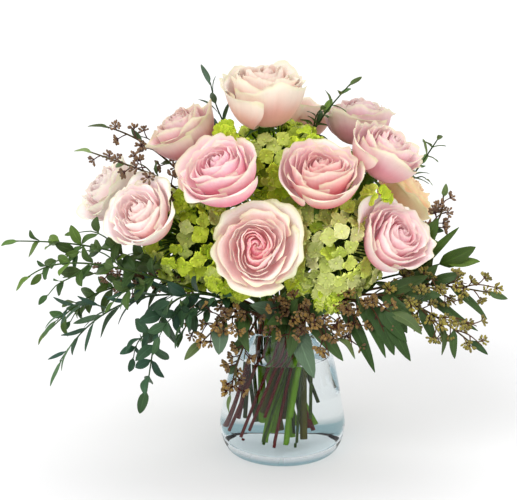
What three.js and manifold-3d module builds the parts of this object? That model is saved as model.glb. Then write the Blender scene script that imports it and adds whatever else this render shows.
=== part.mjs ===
// Floral table centrepiece: a dozen garden roses, four hydrangea heads and sprays of seeded, willow
// and small-leaved eucalyptus, standing in a tapered glass vase of water.
// Millimetres, +Z up, the origin at the middle of the vase's foot, the show side facing -Y.

import * as THREE from "three";
import { ConvexHull } from "three/addons/math/ConvexHull.js";
import { mergeVertices } from "three/addons/utils/BufferGeometryUtils.js";
import Module from "manifold-3d";

const wasm = await Module();
wasm.setup();
const { Manifold, Mesh } = wasm;

// ---------------------------------------------------------------- driving dimensions
const SEAT_GAP = 0.3; // between two pieces that touch
const VASE = {
  height: 135, rim: 44, belly: 64, bellyHeight: 30, foot: 50, innerFoot: 44,
  wall: 3, floor: 9, lip: 1.4, sides: 24,
};
const WATER_LEVEL = 104;

// The stems lie in the vase as a twisted sheaf: straight lines that come nearest together at the waist.
// "twist" is in radians for each mm of height, and "lead" the turn from a stem's side at the waist to
// the side that it leaves by. Stem feet stand between "footAir" and "footSpread" higher above the floor.
const SHEAF = {
  waistHeight: 118, waistRadius: 27, twist: 0.0135, lead: 0.9, top: 148, air: 1.1,
  footAir: 3.6, footSpread: 34,
};
// Above the sheaf the stems are points "step" apart, kept "air" clear of each other, and their curve
// starts "lead" below its top. A finished rod strays no more than "stray" from them.
const BEND = { step: 7, lead: 25, air: 2.2, stray: 1.1, passes: 80 };

// Each bloom's middle, the way it faces, and its width.
const ROSES = [
  { middle: [-19, -5, 367], face: [0, -0.25, 0.97], width: 88 },
  { middle: [-60, -70, 309], face: [-0.35, -0.5, 0.79], width: 86 },
  { middle: [34, -65, 305], face: [0, -0.49, 0.87], width: 86 },
  { middle: [-26, -92, 242], face: [0, -0.91, 0.41], width: 94 },
  { middle: [-137, -58, 263], face: [-0.35, -0.76, 0.55], width: 78 },
  { middle: [105, -65, 242], face: [0.4, -0.71, 0.58], width: 82 },
  { middle: [99, -28, 318], face: [0.51, -0.17, 0.85], width: 80 },
  { middle: [77, 40, 334], face: [0, 0.1, 0.99], width: 76 },
  { middle: [-173, 18, 268], face: [-0.77, -0.13, 0.63], width: 80 },
  { middle: [-99, 0, 332], face: [-0.51, -0.05, 0.86], width: 78 },
  { middle: [122, 30, 262], face: [0.74, 0.05, 0.67], width: 76 },
  { middle: [20, 78, 330], face: [0.2, 0.47, 0.86], width: 66 },
];
const ROSE = {
  width: 94, height: 50, middleHeight: 30, petal: 1, keepOut: 40,
  hipRadius: 6, hipLength: 14, stemRadius: 2.6,
};
const SEPAL = { length: 20, width: 6, drop: 8 };

const HYDRANGEAS = [
  { middle: [-88, -18, 230], radius: 52 },
  { middle: [48, -38, 226], radius: 54 },
  { middle: [-6, 8, 300], radius: 50 },
  { middle: [36, 60, 246], radius: 54 },
];
const HYDRANGEA = { core: 19, seat: 17.8, floret: 17.5, florets: 38, dish: 4, stemRadius: 3.2 };

// Leaf length, width and spacing along the stem, how far a leaf leans out in radians, whether leaves
// come in pairs, the stem's radius and the spacing of the seed clusters.
const KINDS = {
  parvifolia: { leaf: 22, width: 12, spacing: 19, lean: 1.0, pairs: true, stem: 1.3, seeds: 0 },
  willow: { leaf: 34, width: 6.5, spacing: 15, lean: 0.65, pairs: false, stem: 1.2, seeds: 0 },
  seeded: { leaf: 36, width: 12, spacing: 34, lean: 0.9, pairs: false, stem: 1.5, seeds: 28 },
  broad: { leaf: 40, width: 18, spacing: 24, lean: 0.8, pairs: false, stem: 1.5, seeds: 0 },
};
const SEED = { length: 8, radius: 1.9, hub: 1.5, twig: 12 };

// Each spray's way out of the vase, tip last, and "bare", the share of it that carries nothing.
// "own" lists single leaves: the share of the way at which each one grows, its tip and its width.
const SPRAYS = [
  { name: "parvifolia_left_high", kind: "parvifolia", bare: 0.45,
    route: [
      [-60, -30, 178], [-117, -42, 205], [-155, -50, 225],
      [-193, -55, 235], [-232, -55, 238], [-260, -55, 238],
    ] },
  { name: "parvifolia_left_middle", kind: "parvifolia", bare: 0.5,
    route: [
      [-70, -50, 180], [-116, -60, 200], [-158, -72, 217],
      [-201, -80, 227], [-232, -82, 222], [-246, -82, 210],
    ] },
  { name: "parvifolia_left_low", kind: "parvifolia", bare: 0.5,
    route: [
      [-62, -12, 168], [-122, -20, 190], [-166, -30, 186],
      [-196, -35, 177], [-213, -38, 160], [-231, -40, 142],
    ] },
  { name: "willow_left", kind: "willow", bare: 0.35,
    route: [
      [-58, -40, 170], [-111, -48, 188], [-147, -58, 182],
      [-181, -65, 167], [-204, -70, 145], [-219, -72, 120],
    ] },
  { name: "parvifolia_drooping", kind: "parvifolia", leaf: 27, width: 14, bare: 0.42,
    route: [
      [-48, -52, 178], [-86, -75, 198], [-111, -90, 193],
      [-124, -96, 171], [-127, -98, 131], [-133, -97, 98],
    ] },
  { name: "parvifolia_front_left", kind: "parvifolia", leaf: 22, width: 11, bare: 0.45,
    route: [[-40, -44, 175], [-57, -62, 190], [-78, -80, 186], [-91, -88, 170], [-99, -90, 156]] },
  { name: "seeded_left", kind: "seeded", leaf: 46, width: 11, bare: 0.35,
    route: [[-55, -5, 172], [-95, -14, 184], [-132, -30, 195], [-166, -35, 197], [-186, -38, 200]] },
  { name: "seeded_high_left", kind: "seeded", leaf: 26, width: 8, bare: 0.55,
    route: [
      [-45, 25, 210], [-83, 30, 264], [-111, 35, 292],
      [-134, 24, 315], [-157, 14, 330], [-174, 10, 336],
    ] },
  { name: "seeded_side_left", kind: "seeded", leaf: 22, width: 8, bare: 0.6,
    route: [[-50, 20, 200], [-98, -16, 280], [-124, -36, 298], [-150, -36, 309], [-188, -24, 319]] },
  { name: "willow_top", kind: "willow", leaf: 28, bare: 0.6,
    route: [[-30, 30, 220], [-43, 34, 297], [-55, 30, 329], [-68, 24, 352], [-72, 22, 378]] },
  { name: "parvifolia_top_right", kind: "parvifolia", leaf: 18, width: 8, bare: 0.62,
    route: [[10, 45, 230], [17, 44, 302], [34, 33, 333], [48, 20, 357], [66, 16, 378]] },
  { name: "parvifolia_right", kind: "parvifolia", leaf: 17, width: 7.5, bare: 0.6,
    route: [[70, 60, 200], [115, 84, 236], [137, 80, 272], [150, 66, 297], [157, 52, 314]] },
  { name: "seeded_right_high", kind: "seeded", leaf: 20, width: 9, bare: 0.6,
    route: [[70, -8, 185], [116, -16, 212], [148, -24, 236], [160, -22, 257], [157, -18, 274]] },
  { name: "broad_right", kind: "broad", bare: 0.5,
    route: [[60, -12, 178], [106, -22, 193], [139, -36, 202], [160, -40, 212]],
    own: [[0.95, [188, -42, 228], 16], [0.8, [172, -34, 246], 9], [0.7, [152, -30, 254], 21]] },
  { name: "seeded_right", kind: "seeded", leaf: 30, width: 11, bare: 0.48,
    route: [[58, -24, 172], [96, -36, 188], [138, -52, 195], [172, -55, 191], [202, -55, 185]] },
  { name: "seeded_low_right", kind: "seeded", leaf: 36, width: 11, bare: 0.45,
    route: [[50, -36, 172], [85, -52, 190], [122, -75, 186], [156, -85, 166], [180, -88, 146]] },
  { name: "seeded_front_right", kind: "seeded", leaf: 48, width: 16, bare: 0.4,
    route: [[36, -46, 170], [55, -62, 187], [83, -85, 190], [102, -92, 178]],
    own: [[0.55, [88, -98, 118], 14], [0.95, [122, -98, 130], 15]] },
  { name: "seeded_front", kind: "seeded", leaf: 32, width: 13, bare: 0.35,
    route: [[8, -48, 160], [18, -66, 172], [34, -80, 164], [52, -84, 150]],
    own: [[0.3, [36, -72, 96], 18], [0.35, [-18, -96, 166], 16]] },
  { name: "seeded_front_left", kind: "seeded", leaf: 28, width: 12, bare: 0.35,
    route: [[-20, -46, 162], [-42, -64, 176], [-64, -78, 166], [-80, -82, 143]],
    own: [[0.75, [-66, -84, 118], 15]] },
  { name: "seeded_hanging", kind: "seeded", leaf: 22, width: 10, bare: 0.4,
    route: [[-22, -44, 156], [-36, -60, 146], [-50, -68, 116], [-53, -70, 84]] },
  { name: "parvifolia_back_left", kind: "parvifolia", leaf: 24, width: 13, bare: 0.35,
    route: [[-30, 40, 175], [-66, 70, 205], [-98, 92, 228], [-128, 100, 236], [-150, 102, 226]] },
  { name: "broad_back_right", kind: "broad", bare: 0.4,
    route: [[30, 42, 165], [66, 66, 180], [104, 84, 192], [134, 92, 190]] },
];

const COLOURS = {
  glass: { color: 0xd5e4e8, roughness: 0.03, metalness: 0, transparent: true, opacity: 0.35 },
  water: { color: 0xe4eff2, roughness: 0.02, metalness: 0, transparent: true, opacity: 0.3 },
  petal: { color: 0xf3cdcb, roughness: 0.6, metalness: 0 },
  roseStem: { color: 0x4f7a2f, roughness: 0.55, metalness: 0 },
  floret: { color: 0xb5cc4a, roughness: 0.6, metalness: 0 },
  parvifolia: { color: 0x3f6b35, roughness: 0.5, metalness: 0 },
  willow: { color: 0x4d6d55, roughness: 0.5, metalness: 0 },
  seeded: { color: 0x6c6c44, roughness: 0.6, metalness: 0 },
  broad: { color: 0x44703a, roughness: 0.5, metalness: 0 },
};

// ---------------------------------------------------------------- small tools
const GOLDEN_TURN = 2.39996; // radians, the turn from one leaf, floret or twig to the next
const FULL_TURN = 2 * Math.PI;
const at = (p) => new THREE.Vector3(...p);
const lerp = THREE.MathUtils.lerp;
const smooth = (from, to, x) => THREE.MathUtils.smoothstep(x, from, to);
const moved = (point, direction, distance) => point.clone().addScaledVector(direction, distance);
const halfway = (a, b) => a.clone().lerp(b, 0.5);
const sum = (points) => points.reduce((total, p) => total.add(p), new THREE.Vector3());

// A fixed draw from 0 to 1 for each whole number.
function chance(number) {
  const s = Math.sin(number * 12.9898) * 43758.5453;
  return s - Math.floor(s);
}

// Two directions square to a given one, and the direction between them at a turn.
function across(direction) {
  const helper = Math.abs(direction.z) < 0.9 ? new THREE.Vector3(0, 0, 1) : new THREE.Vector3(1, 0, 0);
  const side = new THREE.Vector3().crossVectors(helper, direction).normalize();
  return [side, new THREE.Vector3().crossVectors(direction, side)];
}
const spoke = ([side, other], turn) => side.clone().multiplyScalar(Math.cos(turn))
  .addScaledVector(other, Math.sin(turn));

// ---------------------------------------------------------------- closed surfaces
function closedGeometry(vertices, faces) {
  const geometry = new THREE.BufferGeometry();
  const positions = vertices.flatMap((v) => v.toArray());
  geometry.setAttribute("position", new THREE.Float32BufferAttribute(positions, 3));
  geometry.setIndex(faces.flat());
  return geometry;
}

function solid(geometry) {
  const bare = geometry.clone();
  bare.deleteAttribute("normal");
  bare.deleteAttribute("uv");
  const merged = mergeVertices(bare, 1e-4);
  const vertProperties = Float32Array.from(merged.attributes.position.array);
  const build = () => {
    const triVerts = Uint32Array.from(merged.index.array);
    return new Manifold(new Mesh({ numProp: 3, vertProperties, triVerts }));
  };
  const made = build();
  if (made.volume() >= 0) return made;
  merged.index.array.reverse(); // the faces pointed in
  return build();
}

// A closed solid through rings of as many points each. A ring of one point closes an end to a tip.
function loft(rings) {
  const faces = [];
  let start = 0;
  rings.slice(1).forEach((ring, k) => {
    const [low, high] = [rings[k].length, ring.length];
    const above = start + low;
    for (let i = 0; i < Math.max(low, high); i++) {
      const j = (i + 1) % Math.max(low, high);
      if (high > 1) faces.push([start + (low > 1 ? i : 0), above + j, above + i]);
      if (low > 1) faces.push([start + i, start + j, above + (high > 1 ? j : 0)]);
    }
    start = above;
  });
  for (let i = 2; i < rings[0].length; i++) faces.push([0, i, i - 1]);
  for (let i = 2; i < rings.at(-1).length; i++) faces.push([start, start + i - 1, start + i]);
  return solid(closedGeometry(rings.flat(), faces));
}

// A round rod along points, with a radius at each point.
function rod(points, radii, sides) {
  let side = null;
  return loft(points.map((point, k) => {
    const ahead = points[Math.min(k + 1, points.length - 1)];
    const behind = points[Math.max(k - 1, 0)];
    const direction = ahead.clone().sub(behind).normalize();
    side = side ? moved(side, direction, -side.dot(direction)).normalize() : across(direction)[0];
    const other = new THREE.Vector3().crossVectors(direction, side);
    return Array.from({ length: sides }, (_, i) => (
      moved(point, spoke([side, other], (FULL_TURN * i) / sides), radii[k])));
  }));
}

function turned(outline) {
  const profile = outline.map(([r, z]) => new THREE.Vector2(r, z));
  return solid(new THREE.LatheGeometry(profile, VASE.sides).rotateX(Math.PI / 2));
}

// ---------------------------------------------------------------- vase and water
// The wall's outside swells from the foot to the belly, then draws in to the rim.
function outerRadius(z) {
  if (z < VASE.bellyHeight) {
    return VASE.foot + (VASE.belly - VASE.foot) * Math.sqrt(1 - (1 - z / VASE.bellyHeight) ** 2);
  }
  const share = (z - VASE.bellyHeight) / (VASE.height - VASE.bellyHeight);
  return VASE.belly - (VASE.belly - VASE.rim) * share ** 1.15;
}

function innerRadius(z) {
  if (z > VASE.bellyHeight) return outerRadius(z) - VASE.wall;
  const share = 1 - (z - VASE.floor) / (VASE.bellyHeight - VASE.floor);
  return lerp(VASE.innerFoot, VASE.belly - VASE.wall, Math.sqrt(1 - share ** 2));
}

const SHOULDER = VASE.height - VASE.lip;
const OUTSIDE = [0, 4, 14, 32, 75, SHOULDER].map((z) => [outerRadius(z), z]);
const INSIDE = [VASE.floor, 16, 32, 75, SHOULDER].map((z) => [innerRadius(z), z]);

function vaseSolid() {
  const lip = [VASE.rim - VASE.wall / 2, VASE.height];
  return turned([[0, 0], ...OUTSIDE, lip, ...INSIDE.toReversed(), [0, VASE.floor]]);
}

// The water fills the glass to its level and leaves a plain hole for each stem.
function waterSolid(stems) {
  const bottom = VASE.floor + SEAT_GAP;
  const [below, above] = INSIDE.slice(-2);
  const level = lerp(below[0], above[0], (WATER_LEVEL - below[1]) / (above[1] - below[1]));
  const wall = [[INSIDE[0][0], bottom], ...INSIDE.slice(1, -1), [level, WATER_LEVEL]];
  const inset = wall.map(([r, z]) => [r - 1.3 * SEAT_GAP, z]);
  const water = turned([[0, bottom], ...inset, [0, WATER_LEVEL]]);
  return water.subtract(Manifold.union(stems.map(stemHole)));
}

// ---------------------------------------------------------------- the sheaf of stems
function onLine(stem, z) {
  const reach = SHEAF.twist * (z - SHEAF.waistHeight);
  return new THREE.Vector3(stem.waist.x - stem.waist.y * reach, stem.waist.y + stem.waist.x * reach, z);
}

// Gives each stem its place in the waist, near the side that it leaves by, the steepest stems nearest
// the middle, and then pushes the places apart.
function placeInWaist(stems) {
  const slope = ({ neck: [end] }) => Math.hypot(end.x, end.y) / Math.max(end.z - VASE.height, 20);
  const ranked = [...stems].sort((a, b) => slope(a) - slope(b));
  ranked.forEach((stem, rank) => {
    const radius = SHEAF.waistRadius * Math.sqrt((rank + 0.5) / ranked.length);
    const turn = Math.atan2(stem.route[0].y, stem.route[0].x) - SHEAF.lead;
    stem.waist = new THREE.Vector2(radius * Math.cos(turn), radius * Math.sin(turn));
  });
  for (let pass = 0; pass < 5 * BEND.passes; pass++) {
    const moves = stems.map((a) => {
      const move = new THREE.Vector2();
      for (const b of stems.filter((other) => other !== a)) {
        const away = a.waist.clone().sub(b.waist);
        const lack = a.radius + b.radius + SHEAF.air - away.length();
        if (lack > 0) move.addScaledVector(away.normalize(), 0.5 * lack);
      }
      return move;
    });
    stems.forEach((stem, i) => stem.waist.add(moves[i]).clampLength(0, SHEAF.waistRadius));
  }
}

// The free stretch of each stem, from the top of the sheaf to its neck, as points one step apart.
function freeStretch(stem) {
  const lead = onLine(stem, SHEAF.top - BEND.lead);
  const control = [lead, onLine(stem, SHEAF.top), ...stem.route, stem.neck[0]];
  const curve = new THREE.CatmullRomCurve3(control, false, "catmullrom", 0.5);
  const first = 1 / (control.length - 1);
  const count = Math.round((curve.getLength() - BEND.lead) / BEND.step);
  return Array.from({ length: count + 1 }, (_, i) => curve.getPoint(lerp(first, 1, i / count)));
}

// Pushes two free stretches apart where they come too near.
function pushApart(a, b, movesA, movesB) {
  const need = a.radius + b.radius + BEND.air;
  a.free.forEach((p, m) => b.free.forEach((q, n) => {
    if (Math.max(Math.abs(p.x - q.x), Math.abs(p.y - q.y), Math.abs(p.z - q.z)) > need) return;
    const away = p.clone().sub(q);
    const lack = need - away.length();
    if (lack <= 0) return;
    away.normalize();
    movesA[m].addScaledVector(away, 0.35 * lack);
    movesB[n].addScaledVector(away, -0.35 * lack);
  }));
}

// Bends the free stretches clear of each other and of the round keep-outs, and smooths them. Their ends
// stay where they are.
function bendClear(stems, keepOuts) {
  for (let pass = 0; pass < BEND.passes; pass++) {
    const moves = stems.map((stem) => stem.free.map(() => new THREE.Vector3()));
    for (let i = 0; i < stems.length; i++) {
      for (let j = i + 1; j < stems.length; j++) pushApart(stems[i], stems[j], moves[i], moves[j]);
    }
    stems.forEach((stem, i) => {
      const others = keepOuts.filter((k) => k.owner !== stem.name);
      stem.free.forEach((p, m) => others.forEach(({ middle, radius }) => {
        const away = p.clone().sub(middle);
        const lack = radius + stem.radius + 1 - away.length();
        if (lack > 0) moves[i][m].addScaledVector(away.normalize(), 0.5 * lack);
      }));
      const before = stem.free.map((p) => p.clone());
      for (let m = 1; m < before.length - 1; m++) {
        stem.free[m].lerp(halfway(before[m - 1], before[m + 1]), 0.3).add(moves[i][m]);
      }
    });
  }
}

// Drops the points that lie within a tolerance of the line through their neighbours.
function thinned(points, tolerance) {
  const [first, last] = [points[0], points.at(-1)];
  const line = new THREE.Line3(first, last);
  const off = points.map((p) => p.distanceTo(line.closestPointToPoint(p, true, new THREE.Vector3())));
  const worst = off.indexOf(Math.max(...off));
  if (off[worst] < tolerance) return [first, last];
  const [before, after] = [points.slice(0, worst + 1), points.slice(worst)];
  return [...thinned(before, tolerance), ...thinned(after, tolerance).slice(1)];
}

// The points that a stem's rod passes, from its foot in the water to its neck.
function wayOf(stem) {
  return [onLine(stem, stem.foot), ...thinned(stem.free, BEND.stray), ...stem.neck.slice(1)];
}

function stemRod(stem) {
  const way = wayOf(stem);
  const taper = (i) => (stem.spray && i > 1 ? lerp(1, 0.55, i / (way.length - 1)) : 1);
  return rod(way, way.map((_, i) => stem.radius * taper(i)), 4);
}

function stemHole(stem) {
  const ends = [onLine(stem, stem.foot - SEAT_GAP), onLine(stem, WATER_LEVEL + 5)];
  const radius = stem.radius + 1.5 * SEAT_GAP;
  return rod(ends, [radius, radius], 4);
}

// ---------------------------------------------------------------- roses
function bezier(a, b, c, d, t) {
  const s = 1 - t;
  return a * s ** 3 + 3 * b * t * s ** 2 + 3 * c * t ** 2 * s + d * t ** 3;
}

// A point of a petal: u runs from side to side, -1 to 1, and v from root to tip, 0 to 1. "open" is 0 for
// the innermost petal and 1 for the outermost. Each petal lies on its own turned surface, one inside the
// other, so that petals don't cross. The bloom's axis is Z.
function petalPoint(u, v, open, facing) {
  const along = v * (1 - 0.14 * Math.abs(u) ** 2.6);
  const root = open < 0.5 ? 10.5 : 3.5;
  const out = bezier(4.5, lerp(4, 33, open), lerp(7, 39, open), lerp(4, 46, open), along);
  const up = bezier(root, lerp(16, 0, open), lerp(44, 30, open), lerp(56, 42, open), along);
  const halfWidth = lerp(0.72, lerp(1.4, 1.2, open), smooth(0.3, 1, v));
  const turn = facing + u * halfWidth;
  return new THREE.Vector3(out * Math.cos(turn), out * Math.sin(turn), up);
}

// Draws a petal out of a face of the heart: left and right below, top above. The petal is a lens, two
// alike faces that meet at its edge. The widest petals have a row more.
function drawPetal(vertices, faces, [left, right, top], open, facing) {
  const columns = 4;
  const middle = columns / 2;
  const rows = open > 0.8 ? [0.3, 0.65, 1] : [0.5, 1];
  const outer = [];
  const inner = [];
  for (const v of rows) {
    for (let c = 0; c <= columns; c++) {
      const u = c / middle - 1;
      const point = petalPoint(u, v, open, facing);
      const side = petalPoint(u + 0.1, v, open, facing).sub(petalPoint(u - 0.1, v, open, facing));
      const rise = petalPoint(u, v + 0.03, open, facing).sub(petalPoint(u, v - 0.03, open, facing));
      const normal = side.cross(rise).normalize();
      const edge = v === 1 || c === 0 || c === columns;
      outer.push(vertices.push(edge ? point : moved(point, normal, ROSE.petal / 2)) - 1);
      if (!edge) vertices.push(moved(point, normal, -ROSE.petal / 2));
      inner.push(vertices.length - 1);
    }
  }
  faces.push([left, right, outer[middle]], [left, outer[0], top], [right, top, outer[columns]]);
  for (let c = 0; c < columns; c++) {
    faces.push([c < middle ? left : right, outer[c + 1], outer[c]], [top, inner[c], inner[c + 1]]);
    for (let k = c; k + columns + 2 < outer.length + 1; k += columns + 1) {
      const [next, above, aboveNext] = [k + 1, k + columns + 1, k + columns + 2];
      faces.push([outer[k], outer[next], outer[aboveNext]], [outer[k], outer[aboveNext], outer[above]]);
      faces.push([inner[k], inner[aboveNext], inner[next]], [inner[k], inner[above], inner[aboveNext]]);
    }
  }
}

// Turns a solid's +Z to a direction and moves its origin to a point.
function placed(made, origin, direction) {
  const turn = new THREE.Quaternion().setFromUnitVectors(new THREE.Vector3(0, 0, 1), direction);
  return made.transform(new THREE.Matrix4().compose(origin, turn, new THREE.Vector3(1, 1, 1)).toArray());
}

// The heart of a bloom is a five-sided rod. Two whorls of five petals are drawn out of it, each petal two
// fifths of a turn on from the one inside it. The root is at the origin and the face along +Z until the
// bloom turns to its place.
function bloomSolid(rose, number) {
  const vertices = [];
  const faces = [];
  const fifth = FULL_TURN / 5;
  const ring = (radius, z, offset) => Array.from({ length: 5 }, (_, i) => {
    const turn = (i + offset) * fifth + number;
    return vertices.push(new THREE.Vector3(radius * Math.cos(turn), radius * Math.sin(turn), z)) - 1;
  });
  const floor = ring(5, 0, 0);
  const [low, high] = [ring(5, 3, 0), ring(4.6, 4.2, 0.5)];
  const [lowInner, highInner] = [ring(4.4, 10, 0.5), ring(3.6, 11.2, 1)];
  const tip = vertices.push(new THREE.Vector3(0, 0, ROSE.height)) - 1;
  for (let i = 0; i < 5; i++) {
    const j = (i + 1) % 5;
    const outside = (3 * i) % 5; // how many petals of the whorl lie outside this one
    if (i > 1) faces.push([floor[0], floor[i], floor[i - 1]]);
    faces.push([floor[i], floor[j], low[j]], [floor[i], low[j], low[i]], [high[i], low[j], high[j]]);
    faces.push([high[i], high[j], lowInner[j]], [high[i], lowInner[j], lowInner[i]]);
    faces.push([highInner[i], lowInner[j], highInner[j]], [highInner[i], highInner[j], tip]);
    const facing = (i + 0.5) * fifth + number;
    drawPetal(vertices, faces, [low[i], low[j], high[i]], 1 - outside / 9, facing);
    const innerRoot = [lowInner[i], lowInner[j], highInner[i]];
    drawPetal(vertices, faces, innerRoot, (4 - outside) / 9, facing + fifth / 2);
  }
  const made = solid(closedGeometry(vertices, faces)).scale(rose.width / ROSE.width);
  return placed(made, rose.base, rose.face);
}

// The stem widens to the hip, from which five sepals reach out below the bloom.
function roseStemSolid(stem) {
  const { rose } = stem;
  const way = wayOf(stem);
  const radii = way.map((_, i) => (i < way.length - 2 ? stem.radius : ROSE.hipRadius));
  const sides = across(rose.face);
  const sepals = Array.from({ length: 5 }, (_, i) => {
    const out = spoke(sides, (FULL_TURN * i) / 5 + stem.number);
    const tip = moved(rose.down(4 + SEPAL.drop), out, SEPAL.length);
    return leafSolid(rose.down(4), tip, SEPAL.width, rose.face, BUD_BLADE);
  });
  return Manifold.union([rod(way, radii, 4), ...sepals]);
}

// ---------------------------------------------------------------- leaves and seeds
// Each ring's share of a blade's length and of its width, for a leaf and for a small one.
const BLADE = [[0.3, 1], [0.68, 0.78]];
const BUD_BLADE = [[0.45, 1]];
const BLADE_DEPTH = 1.1;

// A blade from root to tip, flat above and ridged below.
function leafSolid(root, tip, width, up, stations) {
  const along = tip.clone().sub(root);
  const side = new THREE.Vector3().crossVectors(along, up).normalize();
  const face = new THREE.Vector3().crossVectors(side, along).normalize();
  const arch = 0.06 * along.length();
  const rings = stations.map(([share, size]) => {
    const middle = moved(moved(root, along, share), face, arch);
    const half = (width / 2) * size;
    return [moved(middle, side, half), moved(middle, side, -half), moved(middle, face, -BLADE_DEPTH)];
  });
  return loft([[root], ...rings, [tip]]);
}

// The faces between two rings of three.
const band = (low, high) => [0, 1, 2].flatMap((i) => {
  const j = (i + 1) % 3;
  return [[low[i], low[j], high[j]], [low[i], high[j], high[i]]];
});

// A twig from the stem ends in a small eight-faced hub. One of its faces is drawn back into the stem as
// the twig, two stay bare, and a club-shaped seed is drawn out of each of the others.
function seedCluster(stem, share, turn) {
  const place = stem.curve.getPoint(share);
  const direction = stem.curve.getTangent(share);
  const out = moved(spoke(across(direction), turn), direction, 0.6).normalize();
  const middle = moved(place, out, SEED.twig);
  const corners = [out, ...across(out)].flatMap((axis) => [axis, axis.clone().negate()]);
  const vertices = corners.map((corner) => moved(middle, corner, SEED.hub));
  const faces = [];
  for (let k = 0; k < 8; k++) {
    const [x, y, z] = [k & 1, (k >> 1) & 1, (k >> 2) & 1];
    const face = (x + y + z) % 2 === 0 ? [x, 2 + y, 4 + z] : [x, 4 + z, 2 + y];
    const way = sum(face.map((c) => corners[c])).normalize();
    if (k === 1) {
      const back = place.clone().sub(middle);
      const ring = face.map((c) => {
        const thin = vertices[c].clone().sub(middle).multiplyScalar(0.7);
        return vertices.push(thin.add(middle).add(back)) - 1;
      });
      faces.push(...band(face, ring), ring);
    } else if (k === 4 || k === 7) {
      faces.push(face);
    } else {
      const waist = moved(middle, way, SEED.hub + 0.5 * SEED.length);
      const ring = face.map((c) => {
        const outward = moved(corners[c], way, -corners[c].dot(way)).normalize();
        return vertices.push(moved(waist, outward, SEED.radius)) - 1;
      });
      const tip = vertices.push(moved(middle, way, SEED.hub + SEED.length)) - 1;
      faces.push(...band(face, ring), ...ring.map((c, i) => [c, ring[(i + 1) % 3], tip]));
    }
  }
  return solid(closedGeometry(vertices, faces));
}

// ---------------------------------------------------------------- hydrangeas
// A floret's outline on its axis, two points to each lobe and one between lobes. What would reach past
// the midway plane to a neighbour is drawn in.
function floretOutline(axis, beside, reach, turn) {
  const sides = across(axis);
  const outline = [];
  for (let lobe = 0; lobe < 4; lobe++) {
    for (const [offset, size, sink] of [[-0.4, 1, 1.5], [0.4, 1, 0], [Math.PI / 4, 0.62, 2]]) {
      const out = spoke(sides, turn + (lobe * FULL_TURN) / 4 + offset);
      const point = (radius) => moved(axis.clone().multiplyScalar(reach - sink), out, radius);
      let radius = HYDRANGEA.floret * size;
      while (beside.some((b) => point(radius).dot(b) + 0.5 > point(radius).dot(axis))) radius -= 0.5;
      outline.push(point(radius));
    }
  }
  return outline;
}

// The faces between an inner and an outer ring, both as [vertex, angle] in order of angle.
function zipped(low, high) {
  const faces = [];
  const angle = (ring, k) => ring[k % ring.length][1] + FULL_TURN * Math.floor(k / ring.length);
  const vertex = (ring, k) => ring[k % ring.length][0];
  let [i, j] = [0, 0];
  while (i < low.length || j < high.length) {
    const inner = j >= high.length || (i < low.length && angle(low, i + 1) < angle(high, j + 1));
    const next = inner ? vertex(low, i + 1) : vertex(high, j + 1);
    faces.push([vertex(low, i), next, vertex(high, j)]);
    if (inner) i++;
    else j++;
  }
  return faces;
}

// The axes of a head's florets, spread evenly, the last of them along the stem.
function floretAxes(head, number) {
  const tilt = new THREE.Quaternion().setFromUnitVectors(new THREE.Vector3(0, 0, -1), head.down);
  return Array.from({ length: HYDRANGEA.florets }, (_, i) => {
    const height = 1 - (2 * i) / (HYDRANGEA.florets - 1);
    const ring = Math.sqrt(1 - height * height);
    const turn = i * GOLDEN_TURN + number;
    return new THREE.Vector3(ring * Math.cos(turn), ring * Math.sin(turn), height).applyQuaternion(tilt);
  });
}

// A head is a small many-sided core with one face for each floret. The face is drawn out to a floret's
// outline of four lobes, which is closed by a shallow dish. Florets that would cross another piece are
// left out. The core's lowest face is flat, where the stem meets it.
function headSolid(head, number, crosses) {
  const axes = floretAxes(head, number);
  const lowest = axes.length - 1;
  const corners = new ConvexHull().setFromPoints(axes).faces.map((face) => {
    const edges = [face.edge, face.edge.next, face.edge.next.next];
    const around = edges.map((edge) => axes.indexOf(edge.head().point));
    const point = face.normal.clone().multiplyScalar(HYDRANGEA.core);
    if (around.includes(lowest)) point.multiplyScalar(HYDRANGEA.seat / point.dot(head.down));
    return { around, point };
  });
  const vertices = corners.map((corner) => corner.point);
  const faces = [];
  axes.forEach((axis, n) => {
    const [side, other] = across(axis);
    const inOrder = (pairs) => pairs.map(([index, p]) => [index, Math.atan2(p.dot(other), p.dot(side))])
      .sort((a, b) => a[1] - b[1]);
    const own = corners.flatMap((corner, i) => (corner.around.includes(n) ? [i] : []));
    const beside = axes.filter((_, i) => i !== n && own.some((c) => corners[c].around.includes(i)));
    const reach = head.radius + 5 * chance(7 * n + number) - 2.5;
    const outline = floretOutline(axis, beside, reach, 3 * chance(n + 50 * number));
    const dish = axis.clone().multiplyScalar(reach - HYDRANGEA.dish);
    const cup = (rim, start) => {
      const edge = inOrder(outline.map((p, i) => [start + i, p]));
      const centre = start + outline.length;
      const top = edge.map(([index], i) => [index, edge[(i + 1) % edge.length][0], centre]);
      return [...zipped(rim, edge), ...top];
    };
    const rim = inOrder(own.map((i) => [i, vertices[i]]));
    const points = [...rim.map(([i]) => vertices[i]), ...outline, dish];
    const loose = points.map((p) => p.clone().add(head.middle));
    const under = rim.slice(2).map((_, i) => [0, i + 2, i + 1]);
    const looseRim = rim.map(([, angle], i) => [i, angle]);
    const alone = solid(closedGeometry(loose, [...cup(looseRim, rim.length), ...under]));
    if (n === lowest || crosses(alone)) {
      faces.push(...rim.slice(2).map(([last], i) => [rim[0][0], rim[i + 1][0], last]));
    } else {
      faces.push(...cup(rim, vertices.length));
      vertices.push(...outline, dish);
    }
  });
  return solid(closedGeometry(vertices.map((p) => p.clone().add(head.middle)), faces));
}

// ---------------------------------------------------------------- sprays
const TRY_TURNS = [0, 0.45, -0.45, 0.9, -0.9, 1.35, -1.35];

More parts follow.
